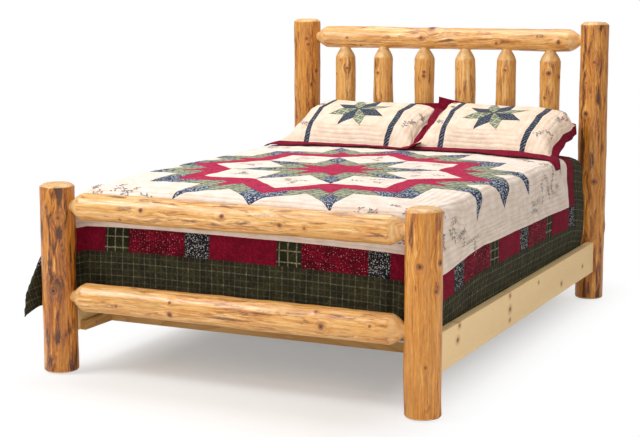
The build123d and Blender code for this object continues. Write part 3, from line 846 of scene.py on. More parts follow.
def makeFabric(name, fabric):
    material, tree, shader = newMaterial(name)
    place = makeNode(tree, "ShaderNodeUVMap", uv_map="flat").outputs[0]
    weave = useGroup(cottonWeave, {"Place": place})
    ground = mixColour(remap(weave["Mottle"], 0.35, 0.65), fabric["ground"], fabric["shade"])
    height = weave["Crinkle"] * 0.5 + weave["Weave"] * 0.06
    if fabric["print"] == "specks":
        specks = useGroup(printSpecks, {"Place": place, "Gap": fabric["gap"], "Size": fabric["size"]})
        ground = mixColour(remap(specks["Cells"], 0.6, 0.75) * 0.7, ground, fabric["shade"])
        ground = mixColour(specks["Specks"], ground, fabric["marks"])
    elif fabric["print"] == "plaid":
        plaid = useGroup(plaidLines, {"Place": place, "Across": fabric["across"], "Up": fabric["up"],
                                      "Turn": fabric["turn"], "Line Width": fabric["width"]})
        ground = mixColour(plaid["Faint"] * fabric["faint"], ground, fabric["marks"])
        strength = remap(weave["Crinkle"], 0.0, 1.0, 0.95 * (1 - fabric["broken"]), 0.95, soft=False)
        lines = plaid["Lines"] * (1.0 - fabric["node"])
        lines = plaid["Crossings"] * fabric["node"] + lines
        ground = mixColour(lines * strength, ground, fabric["marks"])
    elif fabric["print"] == "rows":
        rows = useGroup(quiltingRows, {"Place": place})
        ground = mixColour(rows["Stitch"] * 0.55, ground, fabric["stitch"])
        height = rows["Puff"] * fabric["puff"] + height
    # painted shade: the colour darkens along the sunken seams, where shade falls
    seam = attribute(tree, "seam", "Fac")
    ground = mixColour(seam * 0.3, ground, fabric["shade"])
    # painted shade: the colour is darkened in the creases of the crinkle, where shade falls
    hollow = remap(weave["Crinkle"], 0.0, 0.7, fabric.get("hollow", 0.5), 0.0)
    ground = mixColour(hollow, ground, fabric["shade"], "MULTIPLY")
    feed(shader, {"Base Color": ground, "Roughness": remap(weave["Mottle"], 0.3, 0.7, 0.93, 0.82, soft=False),
                  "Specular IOR Level": 0.06, "Sheen Weight": 0.02, "Sheen Roughness": 0.5})
    addBump(shader, height, 0.6, 0.0022)
    return material


fabricOf = {name: makeFabric(name, fabric) for name, fabric in fabrics.items()}
fabricNumber = {name: index for index, name in enumerate(fabrics)}


def cutPattern(points, lines, gap, keepOut=0.42):
    # triangles over a flat pattern: lines stay as edges, the rest is a grid of points with that gap, of which
    # those nearer to a line than a share of the gap are left out
    sewn, edges = [], []
    for start, end in lines:
        start, end = np.array(start, float), np.array(end, float)
        steps = max(1, int(math.ceil(np.linalg.norm(end - start) / gap)))
        first = len(sewn)
        sewn.extend(start + (end - start) * i / steps for i in range(steps + 1))
        edges.extend((first + i, first + i + 1) for i in range(steps))
    sewn = np.array(sewn)
    seamTree = KDTree(len(sewn))
    for index, point in enumerate(sewn):
        seamTree.insert((point[0], point[1], 0.0), index)
    seamTree.balance()
    free = [p for p in points if seamTree.find((p[0], p[1], 0.0))[2] > gap * keepOut]
    allPoints = [Vector((float(p[0]), float(p[1]))) for p in list(sewn) + free]
    found = delaunay_2d_cdt(allPoints, edges, [], 0, 1e-6, False)
    flat = np.array([(p.x, p.y) for p in found[0]])
    return flat, np.array([list(f) for f in found[2]]), seamTree


def seamDepth(flat, seamTree, reach):
    # 1 on a seam, fading to 0 at that reach
    away = np.array([seamTree.find((u, v, 0.0))[2] for u, v in flat])
    return np.clip(1.0 - away / reach, 0.0, 1.0)


def faceUp(flat, faces):
    # turns the triangles that face down; returns twice the area of each
    first, second = flat[faces[:, 1]] - flat[faces[:, 0]], flat[faces[:, 2]] - flat[faces[:, 0]]
    twice = first[:, 0] * second[:, 1] - first[:, 1] * second[:, 0]
    faces[twice < 0] = faces[twice < 0][:, ::-1]
    return np.abs(twice)


def boxLines(halfU, halfV):
    ring = [(-halfU, -halfV), (halfU, -halfV), (halfU, halfV), (-halfU, halfV)]
    return zip(ring, ring[1:] + ring[:1])


def unit(angle):
    return np.array((math.cos(angle), math.sin(angle)))


def ripple(u, v, seed, size):
    # smooth uneven waves from -1 to 1, the same every run
    value = np.zeros_like(u)
    for k in range(6):
        angle = seed * 1.7 + k * 2.399
        turn = 2 * math.pi / (size * (0.7 + 0.13 * k))
        along = u * math.cos(angle) + v * math.sin(angle)
        value += np.sin(turn * along + seed * (3.1 + k) + 0.8 * np.sin(turn * 0.37 * (v - u) + k))
    return value / 4.0


def clothObject(name, flat, faces, places, materialIndex, seam, thickness):
    made = meshObject(name, places, faces)
    mesh = made.data
    for fabric in fabricOf.values():
        mesh.materials.append(fabric)
    mesh.polygons.foreach_set("material_index", materialIndex)
    mesh.polygons.foreach_set("use_smooth", [True] * len(mesh.polygons))
    uv = mesh.uv_layers.new(name="flat")
    corners = np.zeros(len(mesh.loops), dtype=int)
    mesh.loops.foreach_get("vertex_index", corners)
    uv.data.foreach_set("uv", flat[corners].astype("f").ravel())
    mesh.attributes.new("seam", "FLOAT", "POINT").data.foreach_set("value", seam.astype("f"))
    mesh.update()
    if not thickness:
        return made
    solid = made.modifiers.new("thickness", "SOLIDIFY")
    solid.thickness = thickness
    solid.offset = -1.0
    solid.material_offset = len(fabricOf)
    made.data = bpy.data.meshes.new_from_object(evaluated(made))
    made.modifiers.clear()
    return made


# Quilt

quiltSizes = {
    "half": 1.245, "field": 0.955, "row": 1.052, "star": 0.238, "gap": 0.013, "thickness": 0.0055, "seamDip": 0.0016,
    # seams across the row of blocks, from one corner square to the next, and the blocks between them
    "footSeams": (-0.955, -0.605, -0.497, -0.245, -0.138, 0.150, 0.252, 0.523, 0.610, 0.955),
    "footBlocks": "BGPNBGPNB",
    "sideSeams": (-0.955, -0.600, -0.497, -0.205, -0.103, 0.187, 0.295, 0.580, 0.670, 0.955),
    "sideBlocks": "BNPGBNPGB",
    # where it lies on the mattress
    "centre": (0.0, -0.200), "stretch": 1.012, "skew": -0.010, "tug": (0.030, 0.020), "sidePull": (0.032, 0.030),
    "halfWidth": 0.7690, "halfLength": 1.0235, "roll": 0.048,
    "top": 0.7525, "sideSag": 0.0145, "footSag": 0.0185, "headSag": 0.045,
    # where the sags and the tugs begin and end, and how far it is pushed and bunched at the head
    "footFrom": 0.35, "headFrom": 0.70, "headRun": 0.33, "tugRise": (0.25, 0.76), "tugFade": (0.84, 0.97),
    "pullRise": (0.56, 0.81), "pullFade": (0.83, 0.95), "pullFoot": (-0.62, -0.42),
    "headPush": (0.035, 0.35, 0.80), "headBunch": (0.90, 0.76),
}
blockFabric = {"B": "burgundyCotton", "G": "windowGreen", "P": "burgundyPrint", "N": "navyPrint"}


def direction(step):
    return unit(math.radians(45 * step))


def starDiamonds():
    # (corner, first side, second side, whether it is one of the inner ring) of each diamond of the broken star
    side = quiltSizes["star"]
    found = []
    for k in range(8):
        found.append((np.zeros(2), direction(k), direction(k + 1), False))
        tip = side * (direction(k) + direction(k + 1))
        found.append((tip, direction(k - 1), direction(k), True))
        found.append((tip, direction(k), direction(k + 1), False))
        found.append((tip, direction(k + 2), direction(k + 1), True))
    return found


def diamondFabric(inner, i, j):
    if i + j == 0 or (inner and j == 0):
        return "starBurgundy"
    return "sagePlaid" if i + j < 2 else "starNavy"


def cornerKeep(reach):
    # how far round the mitred corner the cloth goes at that reach, in radians each way
    roll = quiltSizes["roll"]
    out = np.where(reach < roll * math.pi / 2, roll * np.sin(reach / roll), roll)
    return (math.pi / 4) * np.where(reach > 1e-6, out / np.maximum(reach, 1e-6), 1.0)


def flatCorner():
    # the flat point above the start of the roll at the right foot corner
    centreX, centreY = quiltSizes["centre"]
    return np.array((quiltSizes["halfWidth"] - quiltSizes["roll"] - centreX,
                     -(quiltSizes["halfLength"] - quiltSizes["roll"]) - centreY))


def lay(u, v):
    # where the cloth lies over the bed before it hangs down, still flat
    x = quiltSizes["centre"][0] + u * quiltSizes["stretch"] - quiltSizes["skew"] * v
    y = quiltSizes["centre"][1] + v + quiltSizes["skew"] * u
    # the star's foot points were pulled down and across when the bed was made
    tug = smoothStep(-v, *quiltSizes["tugRise"]) * (1 - smoothStep(-v, *quiltSizes["tugFade"]))
    # and its right points down the side, the more the nearer to the foot
    pull = quiltSizes["sidePull"][0] - quiltSizes["sidePull"][1] * np.clip(v, -0.5, 0.5)
    rise, fade, foot = (smoothStep(w, *quiltSizes[k]) for w, k in ((u, "pullRise"), (u, "pullFade"), (v, "pullFoot")))
    x = x + pull * rise * (1 - fade) * foot
    return x + quiltSizes["tug"][0] * tug, y - quiltSizes["tug"][1] * tug


def quiltLines():
    side, field, row, half = (quiltSizes[k] for k in ("star", "field", "row", "half"))
    lines = []
    for corner, *sides, _ in starDiamonds():
        for share in (0.0, 0.5, 1.0):
            for one, other in (sides, sides[::-1]):
                start = corner + one * side * share
                lines.append((start, start + other * side))
    for reach in (field, row, half):
        lines.extend(boxLines(reach, reach))
    for sign in (-1, 1):
        for seam in quiltSizes["footSeams"]:
            lines.append(((seam, sign * field), (seam, sign * row)))
        for seam in quiltSizes["sideSeams"]:
            lines.append(((sign * field, seam), (sign * row, seam)))
    return lines


def quiltFabric(u, v):
    # number of the fabric at each flat point
    field, row, side = quiltSizes["field"], quiltSizes["row"], quiltSizes["star"]
    found = np.full(len(u), fabricNumber["creamCotton"])
    for corner, first, second, inner in starDiamonds():
        basis = np.linalg.inv(np.array((first, second)).T * side / 2)
        i, j = basis @ np.array((u - corner[0], v - corner[1]))
        inside = (i > 0) & (i < 2) & (j > 0) & (j < 2)
        for a in range(2):
            for b in range(2):
                cell = inside & (np.floor(i) == a) & (np.floor(j) == b)
                found[cell] = fabricNumber[diamondFabric(inner, a, b)]
    reachU, reachV = np.abs(u), np.abs(v)
    reach = np.maximum(reachU, reachV)
    ends = (reachV > field) & (reachU <= field)
    sides = (reachU > field) & (reachV <= field)
    for mask, along, seams, blocks in ((ends, np.where(v < 0, u, -u), quiltSizes["footSeams"],
                                        quiltSizes["footBlocks"]),
                                       (sides, v, quiltSizes["sideSeams"], quiltSizes["sideBlocks"])):
        for low, high, block in zip(seams, seams[1:], blocks):
            found[mask & (along >= low) & (along < high)] = fabricNumber[blockFabric[block]]
    found[(reachU > field) & (reachV > field)] = fabricNumber["navyPrint"]
    found[reach > row] = fabricNumber["borderPlaid"]
    return found


def bedTop(x, y):
    # height of the quilt's face on top of the bed
    width, length = quiltSizes["halfWidth"], quiltSizes["halfLength"]
    z = quiltSizes["top"] - quiltSizes["sideSag"] * np.clip(np.abs(x) / width, 0, 1) ** 3
    footFrom, headFrom, headRun = (quiltSizes[k] for k in ("footFrom", "headFrom", "headRun"))
    z = z - quiltSizes["footSag"] * np.clip((-y - footFrom) / (length - footFrom), 0, 1) ** 2
    return z - quiltSizes["headSag"] * np.clip((y - headFrom) / headRun, 0, 1) ** 2


def smoothStep(value, low, high):
    share = np.clip((value - low) / (high - low), 0.0, 1.0)
    return share * share * (3 - 2 * share)


def rollOver(distance):
    # past the start of the roll: how far out, how far down, and what hangs below the roll
    roll = quiltSizes["roll"]
    angle = np.clip(distance / roll, 0, math.pi / 2)
    return roll * np.sin(angle), roll * (1 - np.cos(angle)), np.clip(distance - roll * math.pi / 2, 0, None)


hangSizes = {
    # right side, inside the rail: how far it stands off, and the depths where that begins and ends
    "right": 0.012, "rightFrom": (0.02, 0.2), "rightTo": (0.27, 0.385),
    # left side, outside the rail: slope, and how much the swell adds to it
    "left": 0.128, "leftSwell": 0.010, "leftFrom": (0.1, 0.4),
    # foot: how far it stands off, its folds, and the gathers by the right post as (place, width, share)
    "foot": 0.004, "folds": 0.0035, "gather": 0.020, "gathers": ((0.655, 0.022, 1.0), (0.590, 0.018, 0.7)),
}
leftCorner = {
    # crease of the corner that hangs outside the left foot post: reach along the cloth, and its place there
    "reach": (0.0, 0.075, 0.19, 0.33, 0.47, 0.60, 0.714),
    "crease": ((-0.721, -0.9755, 0.7235), (-0.762, -1.012, 0.676), (-0.826, -1.058, 0.580), (-0.865, -1.116, 0.465),
               (-0.884, -1.158, 0.385), (-0.893, -1.194, 0.308), (-0.894, -1.206, 0.227)),
    # where the two layers bulge to, how much they rise or sink there, and how far they stay apart
    "sideBulge": (-0.890, -1.020, 0.0), "footBulge": (-0.862, -1.040, 0.0), "sideRise": 0.018, "footRise": -0.030,
    "apart": 0.006, "apartAim": (0.985, -0.17, 0.0),
}


def sideLean(side, hang, y):
    # how far the hanging cloth stands off at each depth: inside the rail on the right, outside it on the left
    swell = 0.5 + 0.5 * np.sin(y * 9.0 + 1.0) * np.sin(y * 3.7)
    right = (hangSizes["right"] * smoothStep(hang, *hangSizes["rightFrom"])
             * (1 - smoothStep(hang, *hangSizes["rightTo"])) * (0.7 + 0.6 * swell))
    left = hangSizes["left"] * hang + hangSizes["leftSwell"] * swell * smoothStep(hang, *hangSizes["leftFrom"])
    return np.where(side > 0, right, left)


def footLean(hang, x):
    # soft upright folds along the foot, deepest near the right post
    folds = hangSizes["folds"] * (1 + np.sin(x * 17.0 + 0.6 * np.sin(x * 5.0))) * smoothStep(hang, 0.05, 0.35)
    gather = sum(share * np.exp(-((x - place) / width) ** 2) for place, width, share in hangSizes["gathers"])
    return (hangSizes["foot"] * smoothStep(hang, 0.0, 0.2) + folds
            + hangSizes["gather"] * gather * smoothStep(hang, 0.1, 0.3))


def drape(u, v):
    # the flat quilt's points as they lie on the bed
    width, length, roll, half = (quiltSizes[k] for k in ("halfWidth", "halfLength", "roll", "half"))
    # where the roll over each edge starts
    edge, foot = width - roll, length - roll
    x0, y0 = lay(u, v)
    side = np.sign(x0)
    overSide = np.clip(np.abs(x0) - edge, 0, None)
    overFoot = np.clip(-y0 - foot, 0, None)
    # it is pushed together under the pillows
    pushed, bunch = quiltSizes["headPush"], quiltSizes["headBunch"]
    y0 = y0 - pushed[0] * smoothStep(y0, *pushed[1:])
    y0 = np.where(y0 > bunch[0], bunch[0] + (y0 - bunch[0]) * bunch[1], y0)
    outX, downX, hangX = rollOver(overSide)
    outY, downY, hangY = rollOver(overFoot)
    edgeX = side * (np.minimum(np.abs(x0), edge) + outX)
    edgeY = np.maximum(y0, -foot) - outY
    x = edgeX + side * sideLean(side, hangX, edgeY)
    y = edgeY - footLean(hangY, edgeX) * (hangY > 0)
    z = bedTop(edgeX, edgeY) - downX - downY - hangX - hangY
    # a foot corner: cloth at one reach from the corner goes round it at one depth
    corner = (overSide > 1e-9) & (overFoot > 1e-9)
    reach = np.hypot(overSide, overFoot)
    angle = np.arctan2(overFoot, np.maximum(overSide, 1e-9))
    out, down, hang = rollOver(reach)
    keep = cornerKeep(reach)
    turned = np.where(angle < math.pi / 4, angle, math.pi / 2 - angle)
    turned = np.clip(turned / np.maximum(keep, 1e-6), 0, 1) * math.pi / 4
    turned = np.where(angle < math.pi / 4, turned, math.pi / 2 - turned)
    still = np.zeros_like(u)
    low = bedTop(still + width, still - length)
    leanX = sideLean(still + 1, hang, still - length)
    leanY = footLean(hang, still + 0.72)
    rightCorner = corner & (side > 0)
    x = np.where(rightCorner, edge + (out + leanX) * np.cos(turned), x)
    y = np.where(rightCorner, -foot - (out + leanY) * np.sin(turned), y)
    z = np.where(rightCorner, low - down - hang, z)
    # the left foot corner flares out past the post: two layers from the drops to one crease
    crease = np.stack([np.interp(reach, leftCorner["reach"], line) for line in zip(*leftCorner["crease"])], axis=-1)
    tipX, tipY = lay(-half, -half)
    fold = math.atan2(-tipY - foot, -tipX - edge)
    fromSide = np.stack((-edge - out - sideLean(still - 1, hang, still - foot), still - foot, low - down - hang),
                        axis=-1)
    fromFoot = np.stack((still - edge, -foot - out - footLean(hang, still - edge), low - down - hang), axis=-1)
    onSide = angle < fold
    share = np.clip(np.where(onSide, angle / fold, (math.pi / 2 - angle) / (math.pi / 2 - fold)), 0, 1)[:, None]
    start = np.where(onSide[:, None], fromSide, fromFoot)
    depth = smoothStep(reach, 0.06, 0.3)[:, None]
    middle = (start + crease) / 2
    bulge = np.where(onSide[:, None], leftCorner["sideBulge"], leftCorner["footBulge"])
    bulge = np.concatenate((bulge[:, :2] * depth + middle[:, :2] * (1 - depth), middle[:, 2:]), axis=1)
    flare = start * (1 - share) ** 2 + bulge * 2 * share * (1 - share) + crease * share ** 2
    # the fold is round: the two layers stay a thickness apart up to it
    closing = np.sqrt(1 - np.clip((share - 0.93) / 0.07, 0, 1) ** 2)
    apart = leftCorner["apart"] * smoothStep(share, 0.5, 0.85) * closing * depth
    rise = np.where(onSide[:, None], leftCorner["sideRise"], leftCorner["footRise"])
    flare[:, 2:] += rise * 4 * share * (1 - share) * depth
    flare = flare + apart * np.where(onSide[:, None], -1, 1) * leftCorner["apartAim"]
    x, y, z = (np.where(corner & (side < 0), flare[:, i], old) for i, old in enumerate((x, y, z)))
    return np.stack((x, y, z), axis=-1)


def drapeWithNormal(u, v):
    step = 0.002
    places = drape(u, v)
    across = drape(u + step, v) - drape(u - step, v)
    along = drape(u, v + step) - drape(u, v - step)
    normal = np.cross(across, along)
    return places, normal / np.maximum(np.linalg.norm(normal, axis=1, keepdims=True), 1e-12)


def pucker(u, v):
    # uneven rise and fall of the padded cloth
    return 0.0016 * ripple(u, v, 1.3, 0.21) + 0.0011 * ripple(u, v, 4.1, 0.085)


def makeQuilt():
    half, gap = quiltSizes["half"], quiltSizes["gap"]
    steps = int(2 * half / gap)
    line = (np.arange(steps) + 0.5) * (2 * half / steps) - half
    grid = [(u, v + (0.25 if i % 2 else -0.25) * gap) for i, u in enumerate(line) for v in line]
    lines = quiltLines()
    # cut lines of the mitred foot corner
    corner = flatCorner()
    reaches = np.linspace(0.0, 0.75, 60)
    keep = cornerKeep(reaches)
    for angles in (-keep, -(math.pi / 2 - keep)):
        cut = [(corner[0] + r * math.cos(a), corner[1] + r * math.sin(a)) for r, a in zip(reaches, angles)]
        lines.extend(zip(cut, cut[1:]))
    flat, faces, seamTree = cutPattern(grid, lines, gap)
    middle = flat[faces].mean(axis=1)
    inside = (np.abs(middle) < half).all(axis=1)
    x0, y0 = middle[:, 0] - corner[0], corner[1] - middle[:, 1]
    reach = np.hypot(x0, y0)
    angle = np.arctan2(y0, x0)
    wedge = (x0 > 0) & (y0 > 0) & (np.minimum(angle, math.pi / 2 - angle) > cornerKeep(reach))
    faces = faces[inside & ~wedge]
    used = np.unique(faces)
    renumber = np.full(len(flat), -1)
    renumber[used] = np.arange(len(used))
    flat, faces = flat[used], renumber[faces]
    area = float(faceUp(flat, faces).sum() / 2)
    seam = seamDepth(flat, seamTree, gap * 1.15)
    places, normals = drapeWithNormal(flat[:, 0], flat[:, 1])
    places = places + normals * (pucker(flat[:, 0], flat[:, 1]) - quiltSizes["seamDip"] * seam)[:, None]
    fabric = quiltFabric(*flat[faces].mean(axis=1).T)
    quilt = clothObject("quilt_cover", flat, faces, places, fabric, seam, quiltSizes["thickness"])
    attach(quilt, "bedding")
    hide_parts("quilt")
    print("the quilt lies on the bed:", len(quilt.data.polygons), "faces, cut area", round(area, 3))


# Shams

shamSizes = {
    "halfWidth": 0.365, "halfDepth": 0.265, "flange": 0.060, "gap": 0.0085,
    "simGap": 0.010, "frames": 11, "plump": 0.078,
    "strip": 0.234, "stripWidth": 0.027, "star": 0.0963, "front": 0.650, "back": 1.061,
    # depth along the cloth from the front seam, then how far back and how high it is there
    "along": (0.0, 0.054, 0.12, 0.25, 0.40, 0.53),
    "run": (0.0, 0.022, 0.056, 0.16, 0.30, 0.395),
    "rise": (0.770, 0.816, 0.858, 0.921, 0.943, 0.870),
    "gather": 0.045, "fall": 0.95, "clear": 0.0035, "sheetGap": 0.0013, "seamDip": 0.0014,
}
shamCloth = {
    "use_pressure": True, "uniform_pressure_force": 6.0, "tension_stiffness": 15.0, "compression_stiffness": 15.0,
    "tension_damping": 5.0, "compression_damping": 5.0, "shear_stiffness": 5.0, "bending_stiffness": 0.5,
    "mass": 0.3, "quality": 6, "air_damping": 2.0,
}
# how each one lies: its middle, the shift of its stuffing (sideways: slant to the back, bow of the ends, tuck and
# spread of the back corners; up: lift, droop of the back ends, dip of each end, heel at the back) and its end
# flanges (out, up) at the front and at the back
shams = {
    "pillow_left": {"middle": -0.338, "slant": -0.03, "bow": 0.045, "lift": -0.005, "droop": 0.025, "corner": 0.01,
                    "pull": 0.0, "left": ((0.5, -0.8), (0.55, -0.35)), "right": ((0.5, 0.3), (0.35, -0.7)),
                    "flip": 0.03, "tuck": 0.03, "fold": -0.8, "dip": (0.0, 0.02), "spread": 0.0, "heel": 0.012},
    "pillow_right": {"middle": 0.373, "slant": -0.03, "bow": 0.035, "lift": 0.0, "droop": 0.03, "corner": 0.02,
                     "pull": 0.045, "left": ((0.3, 0.1), (0.95, 0.20)), "right": ((0.6, -0.45), (0.08, -0.75)),
                     "flip": 0.0, "tuck": 0.088, "fold": 0.86, "dip": (0.002, 0.05), "spread": 0.035, "heel": 0.0},
}
shamSeeds = {"pillow_left": 2.3, "pillow_right": 5.9}


def smoothSeam(line, spread=4):
    # the sewn edge keeps its corners and loses its small crinkles
    padded = np.pad(line, ((spread, spread), (0, 0)), mode="reflect", reflect_type="odd")
    return sum(padded[k:k + len(line)] for k in range(2 * spread + 1)) / (2 * spread + 1)


def inflateSham(seed):
    # two flat sheets sewn at their edges and blown up; returns the grids of the top and the bottom
    halfA, halfB, gap = shamSizes["halfWidth"], shamSizes["halfDepth"], shamSizes["simGap"]
    countA, countB = int(round(2 * halfA / gap)) + 1, int(round(2 * halfB / gap)) + 1
    a, b = np.meshgrid(np.linspace(-halfA, halfA, countA), np.linspace(-halfB, halfB, countB), indexing="ij")
    dome = np.clip(1 - (a / halfA) ** 2, 0, 1) * np.clip(1 - (b / halfB) ** 2, 0, 1)
    start = 0.012 * dome * (1 + 0.25 * ripple(a.ravel(), b.ravel(), seed, 0.16).reshape(a.shape))
    top = np.stack((a, b, start), axis=-1).reshape(-1, 3)
    number = np.arange(countA * countB).reshape(countA, countB)
    inner = np.zeros((countA, countB), bool)
    inner[1:-1, 1:-1] = True
    lower = number.copy()
    lower[inner] = len(top) + np.arange(inner.sum())
    bottom = np.stack((a[inner], b[inner], -start[inner]), axis=-1)
    faces = []
    for i in range(countA - 1):
        for j in range(countB - 1):
            faces.append((number[i, j], number[i + 1, j], number[i + 1, j + 1], number[i, j + 1]))
            faces.append((lower[i, j], lower[i, j + 1], lower[i + 1, j + 1], lower[i + 1, j]))
    pad = meshObject("shamInflating", np.vstack((top, bottom)), faces)
    cloth = pad.modifiers.new("inflate", "CLOTH")
    for setting, value in shamCloth.items():
        setattr(cloth.settings, setting, value)
    cloth.settings.effector_weights.gravity = 0.0
    cloth.point_cache.frame_start, cloth.point_cache.frame_end = 1, shamSizes["frames"]
    for frameNumber in range(1, shamSizes["frames"] + 1):
        bpy.context.scene.frame_set(frameNumber)
    done = evaluated(pad)
    places = np.zeros(len(done.data.vertices) * 3)
    done.data.vertices.foreach_get("co", places)
    places = places.reshape(-1, 3)
    bpy.data.objects.remove(pad)
    bpy.context.scene.frame_set(1)
    grids = [places[number].copy(), places[lower].copy()]
    scale = shamSizes["plump"] / np.abs(grids[0][..., 2]).max()
    for grid in grids:
        grid[..., 2] *= scale
        for k in (0, -1):
            grid[k], grid[:, k] = smoothSeam(grid[k]), smoothSeam(grid[:, k])
    return grids


def sampleGrid(grid, a, b):
    # position on the blown-up sheet of the flat point (a, b)
    countA, countB = grid.shape[:2]
    i = np.clip((a / shamSizes["halfWidth"] + 1) / 2 * (countA - 1), 0, countA - 1.000001)
    j = np.clip((b / shamSizes["halfDepth"] + 1) / 2 * (countB - 1), 0, countB - 1.000001)
    i0, j0 = i.astype(int), j.astype(int)
    s, t = (i - i0)[:, None], (j - j0)[:, None]
    return (grid[i0, j0] * (1 - s) * (1 - t) + grid[i0 + 1, j0] * s * (1 - t)
            + grid[i0, j0 + 1] * (1 - s) * t + grid[i0 + 1, j0 + 1] * s * t)


def quiltHeight(x, y):
    # height of the quilt's face under a point, with its rolled side edge
    width, roll = quiltSizes["halfWidth"], quiltSizes["roll"]
    past = np.clip(np.abs(x) - (width - roll), 0, roll * 0.985)
    return bedTop(np.clip(x, -width, width), y) - (roll - np.sqrt(roll * roll - past * past)) + 0.002


def placeSham(sham, grid, a, b, face):
    # flat point to its place on the bed; face is 1 for the top sheet, -1 for the bottom one
    halfA, halfB, flange = shamSizes["halfWidth"], shamSizes["halfDepth"], shamSizes["flange"]
    inA, inB = np.clip(a, -halfA, halfA), np.clip(b, -halfB, halfB)
    spareA, spareB = a - inA, b - inB
    at, middle = sampleGrid(grid, inA, inB), sampleGrid(grid, np.full_like(inA, shamSizes["strip"]), inB)
    depth = inB + halfB
    y = shamSizes["front"] + np.interp(depth, shamSizes["along"], shamSizes["run"]) + 0.35 * (at[:, 1] - middle[:, 1])
    ahead = smoothStep(inA / halfA, -0.1, 0.6) * (1 - smoothStep(depth, 0.0, 0.25))
    y = y - sham["pull"] * ahead
    p, q = inA / halfA, np.minimum(inB / halfB, 0.42)
    x = sham["middle"] + at[:, 0] + 0.15 * (y - 0.85) + sham["slant"] * q + sham["bow"] * p * p * (1 + q)
    x = x - shamSizes["gather"] * (p - p ** 3) - sham["tuck"] * smoothStep(depth, 0.33, 0.53) * np.clip(p, 0, 1) ** 3
    x = x - sham["spread"] * smoothStep(depth, 0.2, 0.5) * np.clip(-p, 0, 1) ** 3
    rise = np.interp(depth, shamSizes["along"], shamSizes["rise"]) - np.abs(middle[:, 2])
    z = rise + at[:, 2] * np.where(face > 0, 1.0, 1.3) + sham["lift"] + sham["droop"] * p * p * (1 + q)
    z = z + sham["heel"] * smoothStep(depth, 0.40, 0.53)
    dip = np.where(p < 0, sham["dip"][0], sham["dip"][1])
    z = z - (0.4 + 0.6 * smoothStep(depth, 0.1, 0.4)) * dip * np.abs(p) ** 3
    z = z + 0.2 * sham["pull"] * ahead
    # flanges: the ends hang or stand, the front one comes down onto the quilt, the back one stands up
    reach, end = np.abs(spareA), np.sign(spareA)
    share = smoothStep(depth, 0.06, 0.36)
    lie = [np.where(spareA < 0, sham["left"][0][i] * (1 - share) + sham["left"][1][i] * share,
                    sham["right"][0][i] * (1 - share) + sham["right"][1][i] * share) for i in (0, 1)]
    nearFront = 1 - smoothStep(depth, 0.0, 0.07)
    x = x + end * reach * (lie[0] * (1 - nearFront) + shamSizes["fall"] * nearFront)
    z = z + reach * lie[1] * (1 - nearFront)
    frontSpare, backSpare = np.clip(-spareB, 0, None), np.clip(spareB, 0, None)
    y = y - shamSizes["fall"] * frontSpare - sham["corner"] * (reach / flange) * nearFront + backSpare * 0.1
    y = np.minimum(y, shamSizes["back"])
    z = z + backSpare * (0.95 - abs(sham["fold"]) * smoothStep(p * np.sign(sham["fold"]), 0.55, 0.75))
    under = quiltHeight(x, y) + shamSizes["clear"]
    down = np.clip(np.maximum(frontSpare, reach * nearFront) / flange, 0, 1)
    rest = under + 0.001 + 0.002 * (1 + np.sin(x * 23))
    z = z * (1 - down) + rest * down
    z = z + sham["flip"] * (reach / flange) * nearFront * (spareA > 0)
    z = np.maximum(z, under)
    return np.stack((x, y, z + shamSizes["sheetGap"] * face), axis=-1)


def shamRipple(node, a, b):
    return 0.0011 * ripple(a, b, shamSeeds[node] + 2.0, 0.09)


def shamLines():
    halfA, halfB, flange = shamSizes["halfWidth"], shamSizes["halfDepth"], shamSizes["flange"]
    lines = [*boxLines(halfA, halfB), *boxLines(halfA + flange, halfB + flange)]
    for side in (-1, 1):
        for edge in (-0.5, 0.5):
            place = side * (shamSizes["strip"] + edge * shamSizes["stripWidth"])
            lines.append(((place, -halfB), (place, halfB)))
        for other in (-1, 1):
            lines.append(((side * halfA, other * halfB), (side * (halfA + flange), other * (halfB + flange))))
    for k in range(8):
        tip = shamSizes["star"] * (direction(k) + direction(k + 1))
        for turn in (0, 1):
            point = shamSizes["star"] * direction(k + turn)
            lines.extend((((0, 0), point), (point, tip)))
    return lines


def shamFabric(a, b):
    halfA, halfB = shamSizes["halfWidth"], shamSizes["halfDepth"]
    found = np.full(len(a), fabricNumber["shamCotton"])
    for k in range(8):
        basis = np.linalg.inv(np.array((direction(k), direction(k + 1))).T * shamSizes["star"])
        i, j = basis @ np.array((a, b))
        found[(i > 0) & (i < 1) & (j > 0) & (j < 1)] = fabricNumber["navyTicks" if k % 2 else "sagePlaid"]
    found[np.abs(np.abs(a) - shamSizes["strip"]) < shamSizes["stripWidth"] / 2] = fabricNumber["navyTicks"]
    found[(np.abs(a) > halfA) | (np.abs(b) > halfB)] = fabricNumber["burgundyCotton"]
    return found


